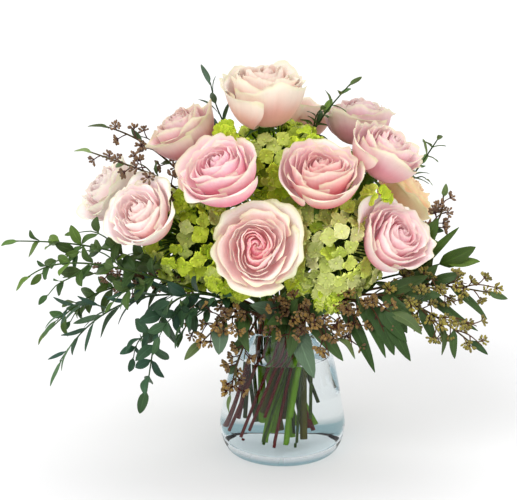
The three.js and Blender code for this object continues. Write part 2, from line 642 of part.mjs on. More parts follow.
// Leaves and seed clusters grow along the part of the way that isn't bare. What would cross another piece
// turns round the stem until it is clear, and is left out if it never is.
function spraySolid(stem, crosses) {
  const kind = { ...KINDS[stem.spray.kind], ...stem.spray };
  const way = thinned(stem.free, BEND.stray);
  stem.curve = new THREE.CurvePath();
  way.slice(1).forEach((p, i) => stem.curve.add(new THREE.LineCurve3(way[i], p)));
  const leafy = (1 - kind.bare) * stem.curve.getLength();
  const grown = [];
  const grow = (make) => {
    const made = TRY_TURNS.values().map(make).find((one) => !crosses(one));
    if (made) grown.push(made);
  };
  for (const [share, tip, width] of kind.own ?? []) {
    const root = stem.curve.getPoint(share);
    const reach = at(tip).sub(root);
    grow((turn) => {
      const end = reach.clone().applyAxisAngle(stem.curve.getTangent(share), turn).add(root);
      return leafSolid(root, end, width, new THREE.Vector3(0, -1, 0.4), BLADE);
    });
  }
  const count = Math.floor(leafy / kind.spacing);
  for (let i = 0; i <= count; i++) {
    const share = lerp(kind.bare, 0.99, i / count);
    const root = stem.curve.getPoint(share);
    const direction = stem.curve.getTangent(share);
    const size = kind.leaf * lerp(1, 0.72, i / count) * (0.85 + 0.3 * chance(i + 13 * stem.number));
    const lean = i === count ? 0.15 : kind.lean;
    for (let half = 0; half < (kind.pairs && i < count ? 2 : 1); half++) {
      const roll = (kind.pairs ? 1.2 * i + Math.PI * half : GOLDEN_TURN * i) + stem.number;
      grow((turn) => {
        const out = spoke(across(direction), roll + turn);
        const tip = moved(moved(root, direction, size * Math.cos(lean)), out, size * Math.sin(lean));
        tip.z -= 0.12 * size;
        const up = moved(direction.clone().multiplyScalar(Math.sin(lean)), out, -Math.cos(lean));
        return leafSolid(root, tip, (size * kind.width) / kind.leaf, up, size < 24 ? BUD_BLADE : BLADE);
      });
    }
  }
  const clusters = kind.seeds ? Math.floor(leafy / kind.seeds) : 0;
  for (let i = 0; i < clusters; i++) {
    const share = lerp(kind.bare, 0.97, (i + 0.5) / clusters);
    grow((turn) => seedCluster(stem, share, GOLDEN_TURN * i + stem.number + turn));
  }
  return Manifold.union([stemRod(stem), ...grown]);
}

// ---------------------------------------------------------------- the arrangement
const roses = ROSES.map((given, i) => {
  const face = at(given.face).normalize();
  const middle = at(given.middle);
  const base = moved(middle, face, (-ROSE.middleHeight * given.width) / ROSE.width);
  const down = (distance) => moved(base, face, -distance);
  return { name: `rose_${String(i + 1).padStart(2, "0")}`, width: given.width, face, middle, base, down };
});
const heads = HYDRANGEAS.map(({ middle, radius }, i) => {
  const down = new THREE.Vector3(0, 0, VASE.height).sub(at(middle)).normalize();
  const under = (distance) => moved(at(middle), down, HYDRANGEA.seat + distance);
  return { name: `hydrangea_${i + 1}`, middle: at(middle), radius, down, under };
});

// "route" is where the stem passes, and "neck" where it ends, the points of which stay as they are.
const stems = [
  ...roses.map((rose) => ({
    name: rose.name,
    rose,
    radius: ROSE.stemRadius,
    route: [rose.down(46)],
    neck: [24, ROSE.hipLength, 6, SEAT_GAP].map(rose.down),
  })),
  ...heads.map((head) => ({
    name: head.name,
    head,
    radius: HYDRANGEA.stemRadius,
    route: [head.under(34)],
    neck: [14, SEAT_GAP].map(head.under),
  })),
  ...SPRAYS.map((spray) => ({
    name: spray.name,
    spray,
    radius: KINDS[spray.kind].stem,
    route: spray.route.slice(0, -1).map(at),
    neck: [at(spray.route.at(-1))],
  })),
];
stems.forEach((stem, i) => {
  stem.number = i;
  stem.foot = VASE.floor + SHEAF.footAir + SHEAF.footSpread * chance(i) ** 2;
});
placeInWaist(stems);
for (const stem of stems) stem.free = freeStretch(stem);
bendClear(stems, [
  ...roses.map(({ name, middle, width }) => (
    { owner: name, middle, radius: (ROSE.keepOut * width) / ROSE.width })),
  ...heads.map(({ name, middle }) => ({ owner: name, middle, radius: HYDRANGEA.core })),
]);

const nodes = new Map(); // each piece's solid, box and colour by its name
function keep(name, made, colour) {
  nodes.set(name, { made, box: made.boundingBox(), colour });
}

// Whether a solid comes within a hair of a piece that is there already, other than its own stem.
const crossing = (own) => (made) => {
  const { min, max } = made.boundingBox();
  const middle = min.map((low, k) => (low + max[k]) / 2);
  const fat = made.translate(middle.map((m) => -m)).scale(1.06).translate(middle);
  const near = ({ box }) => [0, 1, 2].every((k) => min[k] - 1 < box.max[k] && max[k] + 1 > box.min[k]);
  return [...nodes].some(([name, node]) => (
    name !== own && near(node) && fat.intersect(node.made).volume() > 0));
};

keep("vase", vaseSolid(), "glass");
for (const stem of stems) {
  if (stem.rose) {
    keep(`${stem.name}_bloom`, bloomSolid(stem.rose, stem.number), "petal");
    keep(`${stem.name}_stem`, roseStemSolid(stem), "roseStem");
  } else {
    const [name, colour] = stem.head ? [`${stem.name}_stem`, "roseStem"] : [stem.name, stem.spray.kind];
    keep(name, stemRod(stem), colour);
  }
}
for (const { name, head, number } of stems.filter((stem) => stem.head)) {
  keep(`${name}_head`, headSolid(head, number, crossing()), "floret");
}
for (const stem of stems.filter(({ spray }) => spray)) {
  keep(stem.name, spraySolid(stem, crossing(stem.name)), stem.spray.kind);
}
keep("water", waterSolid(stems), "water");

const centrepiece = new THREE.Group();
for (const [name, { made, colour }] of nodes) {
  const { vertProperties, triVerts } = made.getMesh();
  const geometry = new THREE.BufferGeometry();
  geometry.setAttribute("position", new THREE.BufferAttribute(vertProperties, 3));
  geometry.setIndex(new THREE.BufferAttribute(triVerts, 1));
  geometry.computeVertexNormals();
  const mesh = new THREE.Mesh(geometry, new THREE.MeshStandardMaterial(COLOURS[colour]));
  mesh.name = name;
  centrepiece.add(mesh);
}

export default centrepiece;
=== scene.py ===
# Floral table centrepiece: garden roses, hydrangea heads and eucalyptus sprays in a clear glass vase.
# Shapes are worked out in millimetres, +Z up, from the middle of the vase's foot, and made in metres.
import math
from types import SimpleNamespace as Values

import bpy
import numpy as np
from numpy import linspace
from numpy.linalg import norm
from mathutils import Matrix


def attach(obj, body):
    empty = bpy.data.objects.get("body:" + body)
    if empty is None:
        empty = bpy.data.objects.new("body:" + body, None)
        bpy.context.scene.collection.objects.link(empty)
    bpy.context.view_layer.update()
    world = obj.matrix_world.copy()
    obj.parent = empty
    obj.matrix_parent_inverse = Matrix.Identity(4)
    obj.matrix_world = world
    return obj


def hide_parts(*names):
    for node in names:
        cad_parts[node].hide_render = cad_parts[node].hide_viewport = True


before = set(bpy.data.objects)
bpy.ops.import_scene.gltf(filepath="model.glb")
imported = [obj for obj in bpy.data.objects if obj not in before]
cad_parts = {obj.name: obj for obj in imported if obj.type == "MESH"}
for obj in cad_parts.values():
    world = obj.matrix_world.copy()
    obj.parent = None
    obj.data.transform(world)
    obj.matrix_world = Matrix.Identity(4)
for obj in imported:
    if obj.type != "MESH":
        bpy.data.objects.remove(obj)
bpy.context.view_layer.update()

# ---- driving dimensions, in mm
METRE = 0.001
SEAT_GAP = 0.3
VASE = Values(
    height=135, rim=44, belly=64, belly_height=30, foot=50, inner_foot=44, wall=3, floor=9, lip=1.4
)
WATER_LEVEL = 104
WETTING = 0.08  # how far the water runs into the glass, so that no air shows between them
ROUND = 96  # the sides of the vase and the water
HEEL = 21  # how far the rounded heel rises inside
WALL_START = 36  # the height from which the rings of the wall are evenly spaced
# Where water touches glass, light bends and shines back by their ratio alone.
WATER_IOR, GLASS_IOR, FOOT_IOR = 1.333, 1.39, 1.2
WHITE, GLASS_TINT, FOOT_TINT = (1.0, 1.0, 1.0), (0.95, 0.98, 0.99), (0.13, 0.28, 0.33)
SHEAF = Values(
    waist_height=118, waist_radius=27, twist=0.0135, lead=0.9, top=148, air=1.1, foot_air=3.6, foot_spread=34
)
BEND = Values(step=7, lead=25, air=2.2, passes=80)

# Each bloom's middle, the way it faces, its width, and its colours: deep between the petals, the middle
# of a petal, its rim, and the outside of the cup. "flare" is how far the outer petals lean out, "guard"
# how far the rim's colour reaches down them, and "heart" how deep the innermost petals' colour is.
# "look" is where the petals face, if that isn't where the stem comes from, and "tall" stretches them.
ROSES = [
    dict(middle=(-19, -5, 367), face=(0, -0.25, 0.97), width=88, flare=0.25, guard=0.5,
         look=(0, -0.12, 0.99), tall=1.16,
         colours=((222, 162, 146), (236, 210, 200), (230, 228, 198), (238, 219, 210))),
    dict(middle=(-60, -70, 309), face=(-0.35, -0.5, 0.79), width=86, flare=0.25, guard=0.35,
         colours=((238, 124, 150), (248, 200, 212), (242, 236, 208), (246, 207, 212))),
    dict(middle=(34, -65, 305), face=(0, -0.49, 0.87), width=86, flare=0.25, guard=0.4, heart=0.3,
         colours=((228, 112, 118), (239, 188, 186), (236, 230, 198), (242, 205, 212))),
    # rose_04's colours are painted lighter: painted light that makes up for the shade deep in its face-on
    # heart
    dict(middle=(-26, -92, 242), face=(0, -0.91, 0.41), width=94, flare=0.62, guard=0.95, heart=0.75,
         colours=((255, 132, 156), (255, 230, 234), (241, 244, 198), (249, 230, 222))),
    dict(middle=(-137, -58, 263), face=(-0.35, -0.76, 0.55), width=78, flare=0.22, guard=0.5,
         look=(-0.42, -0.6, 0.68),
         colours=((240, 168, 160), (253, 230, 228), (247, 244, 220), (251, 231, 234))),
    dict(middle=(105, -65, 242), face=(0.4, -0.71, 0.58), width=82, flare=0.25, guard=0.4, heart=0.3,
         look=(0.47, -0.58, 0.66),
         colours=((232, 130, 146), (246, 210, 214), (245, 237, 218), (246, 213, 217))),
    dict(middle=(99, -28, 318), face=(0.51, -0.17, 0.85), width=80, flare=0.3, guard=0.35,
         colours=((220, 140, 152), (234, 192, 197), (225, 223, 186), (232, 194, 200))),
    dict(middle=(77, 40, 334), face=(0, 0.1, 0.99), width=76, flare=0.2, guard=0.3,
         colours=((196, 128, 140), (217, 178, 184), (212, 205, 176), (211, 173, 178))),
    dict(middle=(-173, 18, 268), face=(-0.77, -0.13, 0.63), width=80, flare=0.5, guard=0.5,
         colours=((228, 190, 186), (239, 217, 215), (229, 229, 200), (239, 217, 217))),
    dict(middle=(-99, 0, 332), face=(-0.51, -0.05, 0.86), width=78, flare=0.35, guard=0.45,
         colours=((202, 124, 130), (229, 186, 188), (216, 212, 172), (221, 180, 180))),
    dict(middle=(122, 30, 262), face=(0.74, 0.05, 0.67), width=76, flare=0.4, guard=0.6,
         colours=((240, 178, 134), (248, 214, 176), (240, 230, 164), (246, 214, 188))),
    dict(middle=(20, 78, 330), face=(0.2, 0.47, 0.86), width=66, flare=0.3, guard=0.4,
         colours=((224, 170, 160), (236, 200, 190), (230, 224, 198), (234, 200, 192))),
]
ROSE = Values(
    width=94, middle_height=30, petals=26, petal=0.4, keep_out=40,
    hip_radius=6, hip_length=14, stem_radius=2.6,
)
SEPAL = Values(length=20, width=6, drop=8)

# "pale" is how creamy a head's florets are, and "more" the middles of small clusters beside it.
HYDRANGEAS = [
    dict(middle=(-88, -18, 230), radius=52, pale=0.15, florets=165, bright=0.95,
         more=((-46, -56, 197), (-60, -66, 206), (-103, -24, 272))),
    dict(middle=(48, -38, 226), radius=54, pale=0.55, florets=195, bright=1.05,
         more=((44, -62, 186), (89, -44, 274), (18, -54, 197))),
    dict(middle=(-6, 8, 300), radius=50, pale=0.1, florets=165, bright=1.12,
         more=((-50, -8, 333), (-34, -4, 332), (20, -16, 322))),
    dict(middle=(36, 60, 246), radius=54, pale=0.3, florets=165, bright=0.9),
]
HYDRANGEA = Values(core=19, seat=17.8, sepal=9.4, stem_radius=3.2)
CLUSTER = Values(florets=16, radius=15, pale=0.35)

# Leaf length, width and spacing along the stem, the lean, pairs, the stem's radius, the spacing of the
# seed clusters, the widest place of a leaf, the side shoots and the colour of leaves.
KINDS = {
    "parvifolia": dict(
        leaf=25, width=12.5, spacing=19, lean=1.0, pairs=True, stem=1.3, seeds=0, waist=0.44,
        shoots=3, shoot_length=46, green=(58, 84, 38), back=(100, 124, 74), young=(104, 132, 48)),
    "willow": dict(
        leaf=34, width=6.5, spacing=10, lean=0.65, pairs=False, stem=1.2, seeds=0, waist=0.4,
        shoots=3, shoot_length=52, green=(52, 78, 60), back=(92, 118, 98), young=(78, 106, 66)),
    "seeded": dict(
        leaf=36, width=12, spacing=30, lean=0.9, pairs=False, stem=1.5, seeds=7, waist=0.36, tone="brown",
        shoots=3, shoot_length=26, green=(58, 80, 40), back=(102, 122, 80), young=(108, 126, 76)),
    "broad": dict(
        leaf=40, width=18, spacing=20, lean=0.8, pairs=False, stem=1.5, seeds=0, waist=0.4,
        shoots=0, shoot_length=0, green=(50, 72, 16), back=(88, 114, 54), young=(84, 108, 36)),
}
# Brown, gold, the tip's colour and the twig's, for each tone of seeds.
TONES = {
    "gold": ((82, 54, 24), (184, 146, 62), (50, 24, 18), (66, 32, 28)),
    "olive": ((102, 94, 24), (186, 172, 62), (66, 44, 22), (88, 62, 42)),
    "brown": ((100, 70, 48), (150, 116, 74), (64, 36, 32), (78, 48, 46)),
}
GREY_GREEN = (86, 108, 84)
# Each spray is named by its kind and its place. "bare" is the share of its route without leaves,
# "own" has single leaves, each a share of the route, a tip, a width and perhaps a colour, and
# "twigs" has twigs of seeds, each a share of the route and an end.
SPRAYS = {
    "parvifolia_left_high": dict(bare=0.45,
        route=((-60, -30, 178), (-117, -42, 205), (-155, -50, 225), (-193, -55, 235), (-232, -55, 238),
               (-260, -55, 238))),
    "parvifolia_left_middle": dict(bare=0.5,
        route=((-70, -50, 180), (-116, -60, 200), (-158, -72, 217), (-201, -80, 227), (-232, -82, 222),
               (-246, -82, 210))),
    "parvifolia_left_low": dict(bare=0.5, shoots=2,
        route=((-62, -12, 168), (-122, -20, 190), (-166, -30, 186), (-196, -35, 177), (-213, -38, 160),
               (-231, -40, 142))),
    "willow_left": dict(bare=0.35, shoots=2,
        route=((-58, -40, 170), (-111, -48, 188), (-147, -58, 182), (-181, -65, 167), (-204, -70, 145),
               (-219, -72, 120))),
    "parvifolia_drooping": dict(leaf=29, width=14, spacing=15, green=(40, 68, 46), young=(66, 96, 56),
                                bare=0.42, shoots=2,
        route=((-48, -52, 178), (-86, -75, 198), (-111, -90, 193), (-124, -96, 171), (-127, -98, 131),
               (-133, -97, 98))),
    "parvifolia_front_left": dict(leaf=22, width=11, green=(42, 70, 44), young=(66, 96, 56), bare=0.45,
        route=((-40, -44, 175), (-57, -62, 190), (-78, -80, 186), (-91, -88, 170), (-99, -90, 156))),
    "seeded_left": dict(leaf=46, width=11, bare=0.35,
        route=((-55, -5, 172), (-95, -14, 184), (-132, -30, 195), (-166, -35, 197), (-186, -38, 200))),
    "seeded_high_left": dict(leaf=26, width=8, bare=0.55, seeds=11, shoots=2,
        route=((-45, 25, 210), (-83, 30, 264), (-111, 35, 292), (-134, 24, 315), (-157, 14, 330),
               (-174, 10, 336))),
    "seeded_side_left": dict(leaf=22, width=8, bare=0.6, seeds=11, shoots=2,
        route=((-50, 20, 200), (-98, -16, 280), (-124, -36, 298), (-150, -36, 309), (-188, -24, 319))),
    "willow_top": dict(leaf=30, width=7.5, bare=0.55, shoots=2, shoot_length=30,
        route=((-30, 30, 220), (-43, 34, 297), (-55, 30, 329), (-68, 24, 352), (-72, 22, 378))),
    "parvifolia_top_right": dict(leaf=23, width=8, spacing=14, bare=0.55, shoots=2, shoot_length=30,
                                 green=(44, 72, 38),
        route=((10, 45, 230), (17, 44, 302), (34, 33, 333), (48, 20, 357), (66, 16, 378))),
    "parvifolia_right": dict(leaf=21, width=8.5, spacing=14, bare=0.6, shoots=2, shoot_length=26,
                             green=(46, 76, 38),
        route=((70, 60, 200), (115, 84, 236), (137, 80, 272), (150, 66, 297), (157, 52, 314))),
    "seeded_right_high": dict(leaf=20, width=9, bare=0.6,
        route=((70, -8, 185), (116, -16, 212), (148, -24, 236), (160, -22, 257), (157, -18, 274))),
    "broad_right": dict(bare=0.5,
        route=((60, -12, 178), (106, -22, 193), (139, -36, 202), (160, -40, 212)),
        own=((0.95, (188, -42, 228), 16), (0.8, (172, -34, 246), 9), (0.7, (152, -30, 254), 21))),
    "seeded_right": dict(tone="olive", seeds=8, shoots=4, leaf=30, width=11, bare=0.48,
        route=((58, -24, 172), (96, -36, 188), (138, -52, 195), (172, -55, 191), (202, -55, 185)),
        own=((0.6, (150, -56, 214), 13), (0.8, (200, -56, 158), 8), (0.7, (176, -58, 206), 11),
             (0.65, (190, -62, 148), 10)),
        twigs=((0.7, (178, -60, 196)), (0.85, (206, -60, 192)), (0.6, (150, -62, 200)),
               (0.65, (168, -66, 176)))),
    "seeded_low_right": dict(tone="olive", seeds=8, shoots=4, leaf=36, width=11, bare=0.45,
        route=((50, -36, 172), (85, -52, 190), (122, -75, 186), (156, -85, 166), (180, -88, 146)),
        own=((0.5, (140, -66, 206), 16), (0.6, (152, -78, 190), 15), (0.55, (120, -74, 150), 14),
             (0.7, (148, -84, 142), 10), (0.9, (166, -86, 128), 8), (0.5, (128, -84, 170), 14)),
        twigs=((0.55, (132, -84, 164)), (0.7, (154, -88, 148)), (0.6, (146, -74, 188)),
               (0.8, (186, -88, 162)), (0.9, (192, -88, 142)))),
    "seeded_front_right": dict(tone="gold", seeds=8, shoots=4, leaf=48, width=16, green=(44, 68, 28),
                               bare=0.4,
        route=((36, -46, 170), (55, -62, 187), (83, -85, 190), (102, -92, 178)),
        own=((0.55, (88, -98, 118), 14), (0.95, (122, -98, 130), 15), (0.8, (106, -104, 138), 16),
             (0.9, (118, -100, 150), 14), (0.7, (98, -100, 134), 11)),
        twigs=((0.45, (56, -84, 164)), (0.55, (74, -92, 160)), (0.6, (66, -86, 140)),
               (0.8, (96, -98, 160)))),
    "seeded_front": dict(tone="gold", seeds=8, shoots=4, leaf=32, width=13, bare=0.35,
        route=((8, -48, 160), (18, -66, 172), (34, -80, 164), (52, -84, 150)),
        own=((0.3, (30, -76, 104), 22, GREY_GREEN), (0.35, (-18, -96, 166), 16),
             (0.45, (6, -72, 124), 15), (0.6, (58, -76, 122), 15), (0.1, (-26, -72, 184), 17),
             (0.2, (22, -78, 190), 16), (0.5, (52, -78, 184), 17), (0.3, (-12, -78, 140), 13),
             (0.05, (2, -76, 196), 17), (0.1, (34, -72, 200), 16),
             (0.2, (-36, -86, 184), 20, GREY_GREEN), (0.15, (16, -86, 192), 18)),
        twigs=((0.2, (-8, -86, 180)), (0.3, (16, -88, 184)), (0.3, (-14, -74, 158)),
               (0.35, (0, -84, 172)), (0.4, (4, -80, 146)), (0.5, (20, -86, 152)),
               (0.6, (30, -90, 174)), (0.7, (44, -82, 132)), (0.8, (62, -84, 160)))),
    "seeded_front_left": dict(tone="gold", seeds=8, shoots=4, leaf=28, width=12, bare=0.35,
        route=((-20, -46, 162), (-42, -64, 176), (-64, -78, 166), (-80, -82, 143)),
        own=((0.75, (-63, -88, 133), 17, GREY_GREEN), (0.5, (-34, -84, 134), 12),
             (0.4, (-44, -86, 148), 14)),
        twigs=((0.35, (-30, -80, 170)), (0.45, (-26, -76, 150)), (0.6, (-50, -90, 156)),
               (0.7, (-72, -92, 178)))),
    "seeded_hanging": dict(tone="gold", seeds=9, shoots=3, leaf=22, width=10, bare=0.4,
        route=((-22, -44, 156), (-36, -60, 146), (-50, -68, 116), (-53, -70, 84))),
    "parvifolia_back_left": dict(leaf=24, width=13, bare=0.35,
        route=((-30, 40, 175), (-66, 70, 205), (-98, 92, 228), (-128, 100, 236), (-150, 102, 226))),
    "broad_back_right": dict(bare=0.4,
        route=((30, 42, 165), (66, 66, 180), (104, 84, 192), (134, 92, 190))),
}

# ---- small tools
GOLDEN_TURN = 2.39996
FULL_TURN = 2 * math.pi


def vec(*values):
    return np.array(values, dtype=float)


def unit(v):
    return v / norm(v)


def lerp(a, b, t):
    return a + (b - a) * t


def smooth(low, high, x):
    t = np.clip((x - low) / (high - low), 0, 1)
    return t * t * (3 - 2 * t)


def chance(number):
    """A fixed draw from 0 to 1 for each whole number."""
    s = math.sin(number * 12.9898) * 43758.5453
    return s - math.floor(s)


def across(direction):
    """Two directions square to a given one."""
    helper = vec(0, 0, 1) if abs(direction[2]) < 0.9 else vec(1, 0, 0)
    side = unit(np.cross(helper, direction))
    return side, np.cross(direction, side)


def spoke(sides, turn):
    return sides[0] * math.cos(turn) + sides[1] * math.sin(turn)


def basis(face):
    """The rows are where X, Y and Z go when Z turns the short way to face."""
    x, y, z = face
    k = 1 / (1 + z)
    return np.array([[1 - x * x * k, -x * y * k, -x], [-x * y * k, 1 - y * y * k, -y], [x, y, z]])


def ring_faces(rings, sides):
    """The numbers of the points of stacked rings, those one step on, and the faces between the rings."""
    index = np.arange(rings * sides).reshape(rings, sides)
    onward = np.roll(index, -1, axis=1)
    return index, onward, np.stack([index[:-1], onward[:-1], onward[1:], index[1:]], 2).reshape(-1, 4)


def placed(name, data):
    made = bpy.data.objects.new(name, data)
    bpy.context.scene.collection.objects.link(made)
    return made


def linear(colour):
    """An sRGB colour of 0 to 255 as linear values."""
    c = np.asarray(colour, dtype=float) / 255
    return np.where(c <= 0.04045, c / 12.92, ((c + 0.055) / 1.055) ** 2.4)


# ---- one mesh for each piece
class Pile:
    """Gathers the surfaces of one piece, in mm, each point with a colour and a place on its blade."""

    def __init__(self):
        self.points, self.tints, self.blades, self.faces, self.finishes = [], [], [], [], []
        self.count = 0

    def add(self, points, faces, tint, blade, finish=None):
        """Adds groups of faces. The finish is a material or a list with one for each group, and without
        it they take the piece's first material."""
        points = np.asarray(points, dtype=float).reshape(-1, 3)
        self.points.append(points)
        self.tints.append(np.broadcast_to(tint, points.shape))
        self.blades.append(np.broadcast_to(blade, points.shape))
        self.faces += [np.asarray(face) + self.count for face in faces]
        self.finishes += finish if isinstance(finish, list) else [finish] * len(faces)
        self.count += len(points)

    def blade(self, grid, thickness, tint, back, place, body=0):
        """A thin closed blade: two skins over a grid of points that meet at its edge. A body thickens it
        behind, where the next blade hides that."""
        rows, columns = grid.shape[:2]
        normal = np.cross(np.gradient(grid, axis=1), np.gradient(grid, axis=0))
        normal /= np.maximum(norm(normal, axis=2, keepdims=True), 1e-9)
        edge = np.ones((rows, columns), bool)
        edge[1:-1, 1:-1] = False
        lift = np.where(edge[..., None], 0, normal * thickness / 2)
        top = np.arange(rows * columns).reshape(rows, columns)
        under = top.copy()
        inside = ~edge
        under[inside] = rows * columns + np.arange(inside.sum())

        def cells(index):
            corners = [index[:-1, :-1], index[:-1, 1:], index[1:, 1:], index[1:, :-1]]
            return np.stack(corners, 2).reshape(-1, 4)

        def both(front, rear):
            front, rear = (np.broadcast_to(side, grid.shape) for side in (front, rear))
            return np.concatenate([front.reshape(-1, 3), rear[inside]])

        points = both(grid + lift, grid - lift - np.where(edge[..., None], 0, normal * body))
        self.add(points, [cells(top), cells(under)[:, ::-1]], both(tint, back), both(place, place))

    def tube(self, path, radii, sides, tint, finish=None, tip_tint=None, late=1):
        """A round rod along points, closed at both ends. The higher late is, the nearer its end the
        tip's colour comes in."""
        path = np.asarray(path, dtype=float)
        ahead = np.vstack([path[1:], path[-1:]])
        behind = np.vstack([path[:1], path[:-1]])
        turn = np.arange(sides) * FULL_TURN / sides
        side, rings = None, []
        for point, radius, way in zip(path, radii, ahead - behind):
            way = unit(way)
            side = across(way)[0] if side is None else unit(side - way * side.dot(way))
            other = np.cross(way, side)
            rings.append(point + radius * (np.outer(np.cos(turn), side) + np.outer(np.sin(turn), other)))
        n = len(path)
        index, _, walls = ring_faces(n, sides)
        share = linspace(0, 1, n)[:, None]
        tints = tint if tip_tint is None else lerp(tint, tip_tint, share[..., None] ** late)
        tints = np.broadcast_to(tints, (n, sides, 3)).reshape(-1, 3)
        place = np.zeros((n, sides, 3))
        place[..., 0], place[..., 1] = np.sin(turn), share
        ends = [index[:1, ::-1], index[-1:]]
        self.add(np.vstack(rings), [walls, *ends], tints, place.reshape(-1, 3), finish)

    def piece(self, name, materials, node):
        """The finished object, which stands for a CAD node."""
        mesh = bpy.data.meshes.new(name)
        points = np.vstack(self.points) * METRE
        mesh.vertices.add(len(points))
        mesh.vertices.foreach_set("co", points.ravel())
        loops = np.concatenate([face.ravel() for face in self.faces])
        sizes = np.concatenate([np.full(len(face), face.shape[1]) for face in self.faces])
        mesh.loops.add(len(loops))
        mesh.loops.foreach_set("vertex_index", loops)
        mesh.polygons.add(len(sizes))
        mesh.polygons.foreach_set("loop_start", np.concatenate([[0], np.cumsum(sizes)[:-1]]))
        finishes = [materials.index(finish or materials[0]) for finish in self.finishes]
        finishes = np.repeat(finishes, [len(face) for face in self.faces]).astype(np.int32)
        mesh.polygons.foreach_set("material_index", finishes)
        mesh.update(calc_edges=True)
        tint = mesh.attributes.new("tint", "FLOAT_COLOR", "POINT")
        tint.data.foreach_set("color", np.hstack([np.vstack(self.tints), np.ones((len(points), 1))]).ravel())
        place = mesh.attributes.new("blade", "FLOAT_VECTOR", "POINT")
        place.data.foreach_set("vector", np.vstack(self.blades).ravel())
        mesh.validate()
        mesh.shade_smooth()
        mesh.set_sharp_from_angle(angle=math.radians(70))
        for material in materials:
            mesh.materials.append(material)
        made = placed(name, mesh)
        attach(made, "root")
        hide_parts(node)


# ---- materials
class Look:
    """A material that is being made. Its values are numbers or sockets."""

    def __init__(self, name, **inputs):
        self.made = bpy.data.materials.new(name)
        self.made.use_nodes = True
        self.tree = self.made.node_tree
        self.shader = self.tree.nodes["Principled BSDF"]
        self.set(**inputs)

    def feed(self, node, inputs):
        """Links each input that is a socket, and sets any other."""
        for key, value in inputs.items():
            if isinstance(value, bpy.types.NodeSocket):
                self.tree.links.new(value, node.inputs[key])
            else:
                node.inputs[key].default_value = value

    def set(self, **inputs):
        self.feed(self.shader, {key.replace("_", " "): value for key, value in inputs.items()})

    def add(self, kind, inputs=None, **settings):
        """Adds a node, and gives its outputs."""
        node = self.tree.nodes.new("ShaderNode" + kind)
        for key, value in settings.items():
            setattr(node, key, value)
        self.feed(node, inputs or {})
        return node.outputs

    def span(self, value, low, high):
        """A 0 to 1 value stretched between two others."""
        return self.add("MapRange", {"Value": value, "To Min": low, "To Max": high})["Result"]

    def maths(self, operation, value, *others):
        for other in others or (0.0,):
            value = self.add("Math", {0: value, 1: other}, operation=operation)[0]
        return value

    def times(self, *values):
        return self.maths("MULTIPLY", *values)

    def attribute(self, name, output):
        return self.add("Attribute", attribute_name=name)[output]

    def blade_place(self):
        """The place on a blade, across from -1 to 1 and along from 0 to 1, and the blade's own number."""
        return self.add("SeparateXYZ", {0: self.attribute("blade", "Vector")})

    def object_place(self):
        return self.add("TexCoord")["Object"]

    def between_heights(self, low, high):
        """0 at the low height, in metres, and 1 at the high one."""
        z = self.add("SeparateXYZ", {0: self.object_place()})["Z"]
        return self.add("MapRange", {"Value": z, "From Min": low, "From Max": high})["Result"]

    def noise(self, at, scale, detail, rough):
        inputs = {"Vector": at, "Scale": scale, "Detail": detail, "Roughness": rough}
        return self.add("TexNoise", inputs)["Fac"]

    def blade_noise(self, wide, long):
        """Noise drawn out along a blade, and different on each."""
        scales = zip(self.blade_place(), (wide, long, 7.3))
        at = self.add("CombineXYZ", {i: self.times(*pair) for i, pair in enumerate(scales)})[0]
        return self.noise(at, 1.0, 3.0, 0.55)

    def object_noise(self, scale, detail=3.0):
        return self.noise(self.object_place(), scale, detail, 0.6)

    def colour(self, *channels):
        return self.add("CombineColor", dict(enumerate(channels)))[0]

    def bump(self, height, distance, strength=0.5):
        inputs = {"Height": height, "Distance": distance, "Strength": strength}
        self.set(Normal=self.add("Bump", inputs)["Normal"])

    def tinted(self, *shades, painted_glow=0.0):
        """The piece's own colour, lightened and darkened by shades, and a painted glow: the blade gives off
        faint light of that colour, standing in for the light that thin blades pass on to those behind them."""
        inputs = {0: self.attribute("tint", "Color"), 1: self.times(*shades)}
        colour = self.add("VectorMath", inputs, operation="MULTIPLY")[0]
        self.set(Base_Color=colour)
        if painted_glow:
            self.set(Emission_Color=colour, Emission_Strength=painted_glow)


def petal_material():
    look = Look("petal", Subsurface_Weight=0.4, Subsurface_Radius=(0.005, 0.0032, 0.0028),
                Subsurface_Scale=1.0, Sheen_Weight=0.1, Sheen_Roughness=0.5, Specular_IOR_Level=0.25)
    veins, mottle = look.blade_noise(13.0, 1.1), look.object_noise(90.0)
    # painted glow: the petals give off faint light of their own colour, for light passed between them
    look.tinted(look.span(veins, 0.93, 1.05), look.span(mottle, 0.95, 1.05), painted_glow=0.055)
    look.set(Roughness=look.span(mottle, 0.5, 0.68))
    look.bump(look.maths("ADD", veins, look.times(look.object_noise(900.0), 0.25)), 0.0004)
    return look.made


def floret_material():
    look = Look("floret", Subsurface_Weight=0.18, Subsurface_Radius=(0.003, 0.004, 0.001),
                Subsurface_Scale=0.5, Specular_IOR_Level=0.16, Sheen_Weight=0.03)
    veins, mottle = look.blade_noise(8.0, 2.2), look.object_noise(130.0)
    # painted glow: the florets give off faint light of their own colour, for light passed between them
    look.tinted(look.span(veins, 0.86, 1.12), look.span(mottle, 0.9, 1.08), painted_glow=0.05)
    look.set(Roughness=look.span(mottle, 0.48, 0.66))
    look.bump(veins, 0.0005, 0.6)
    return look.made


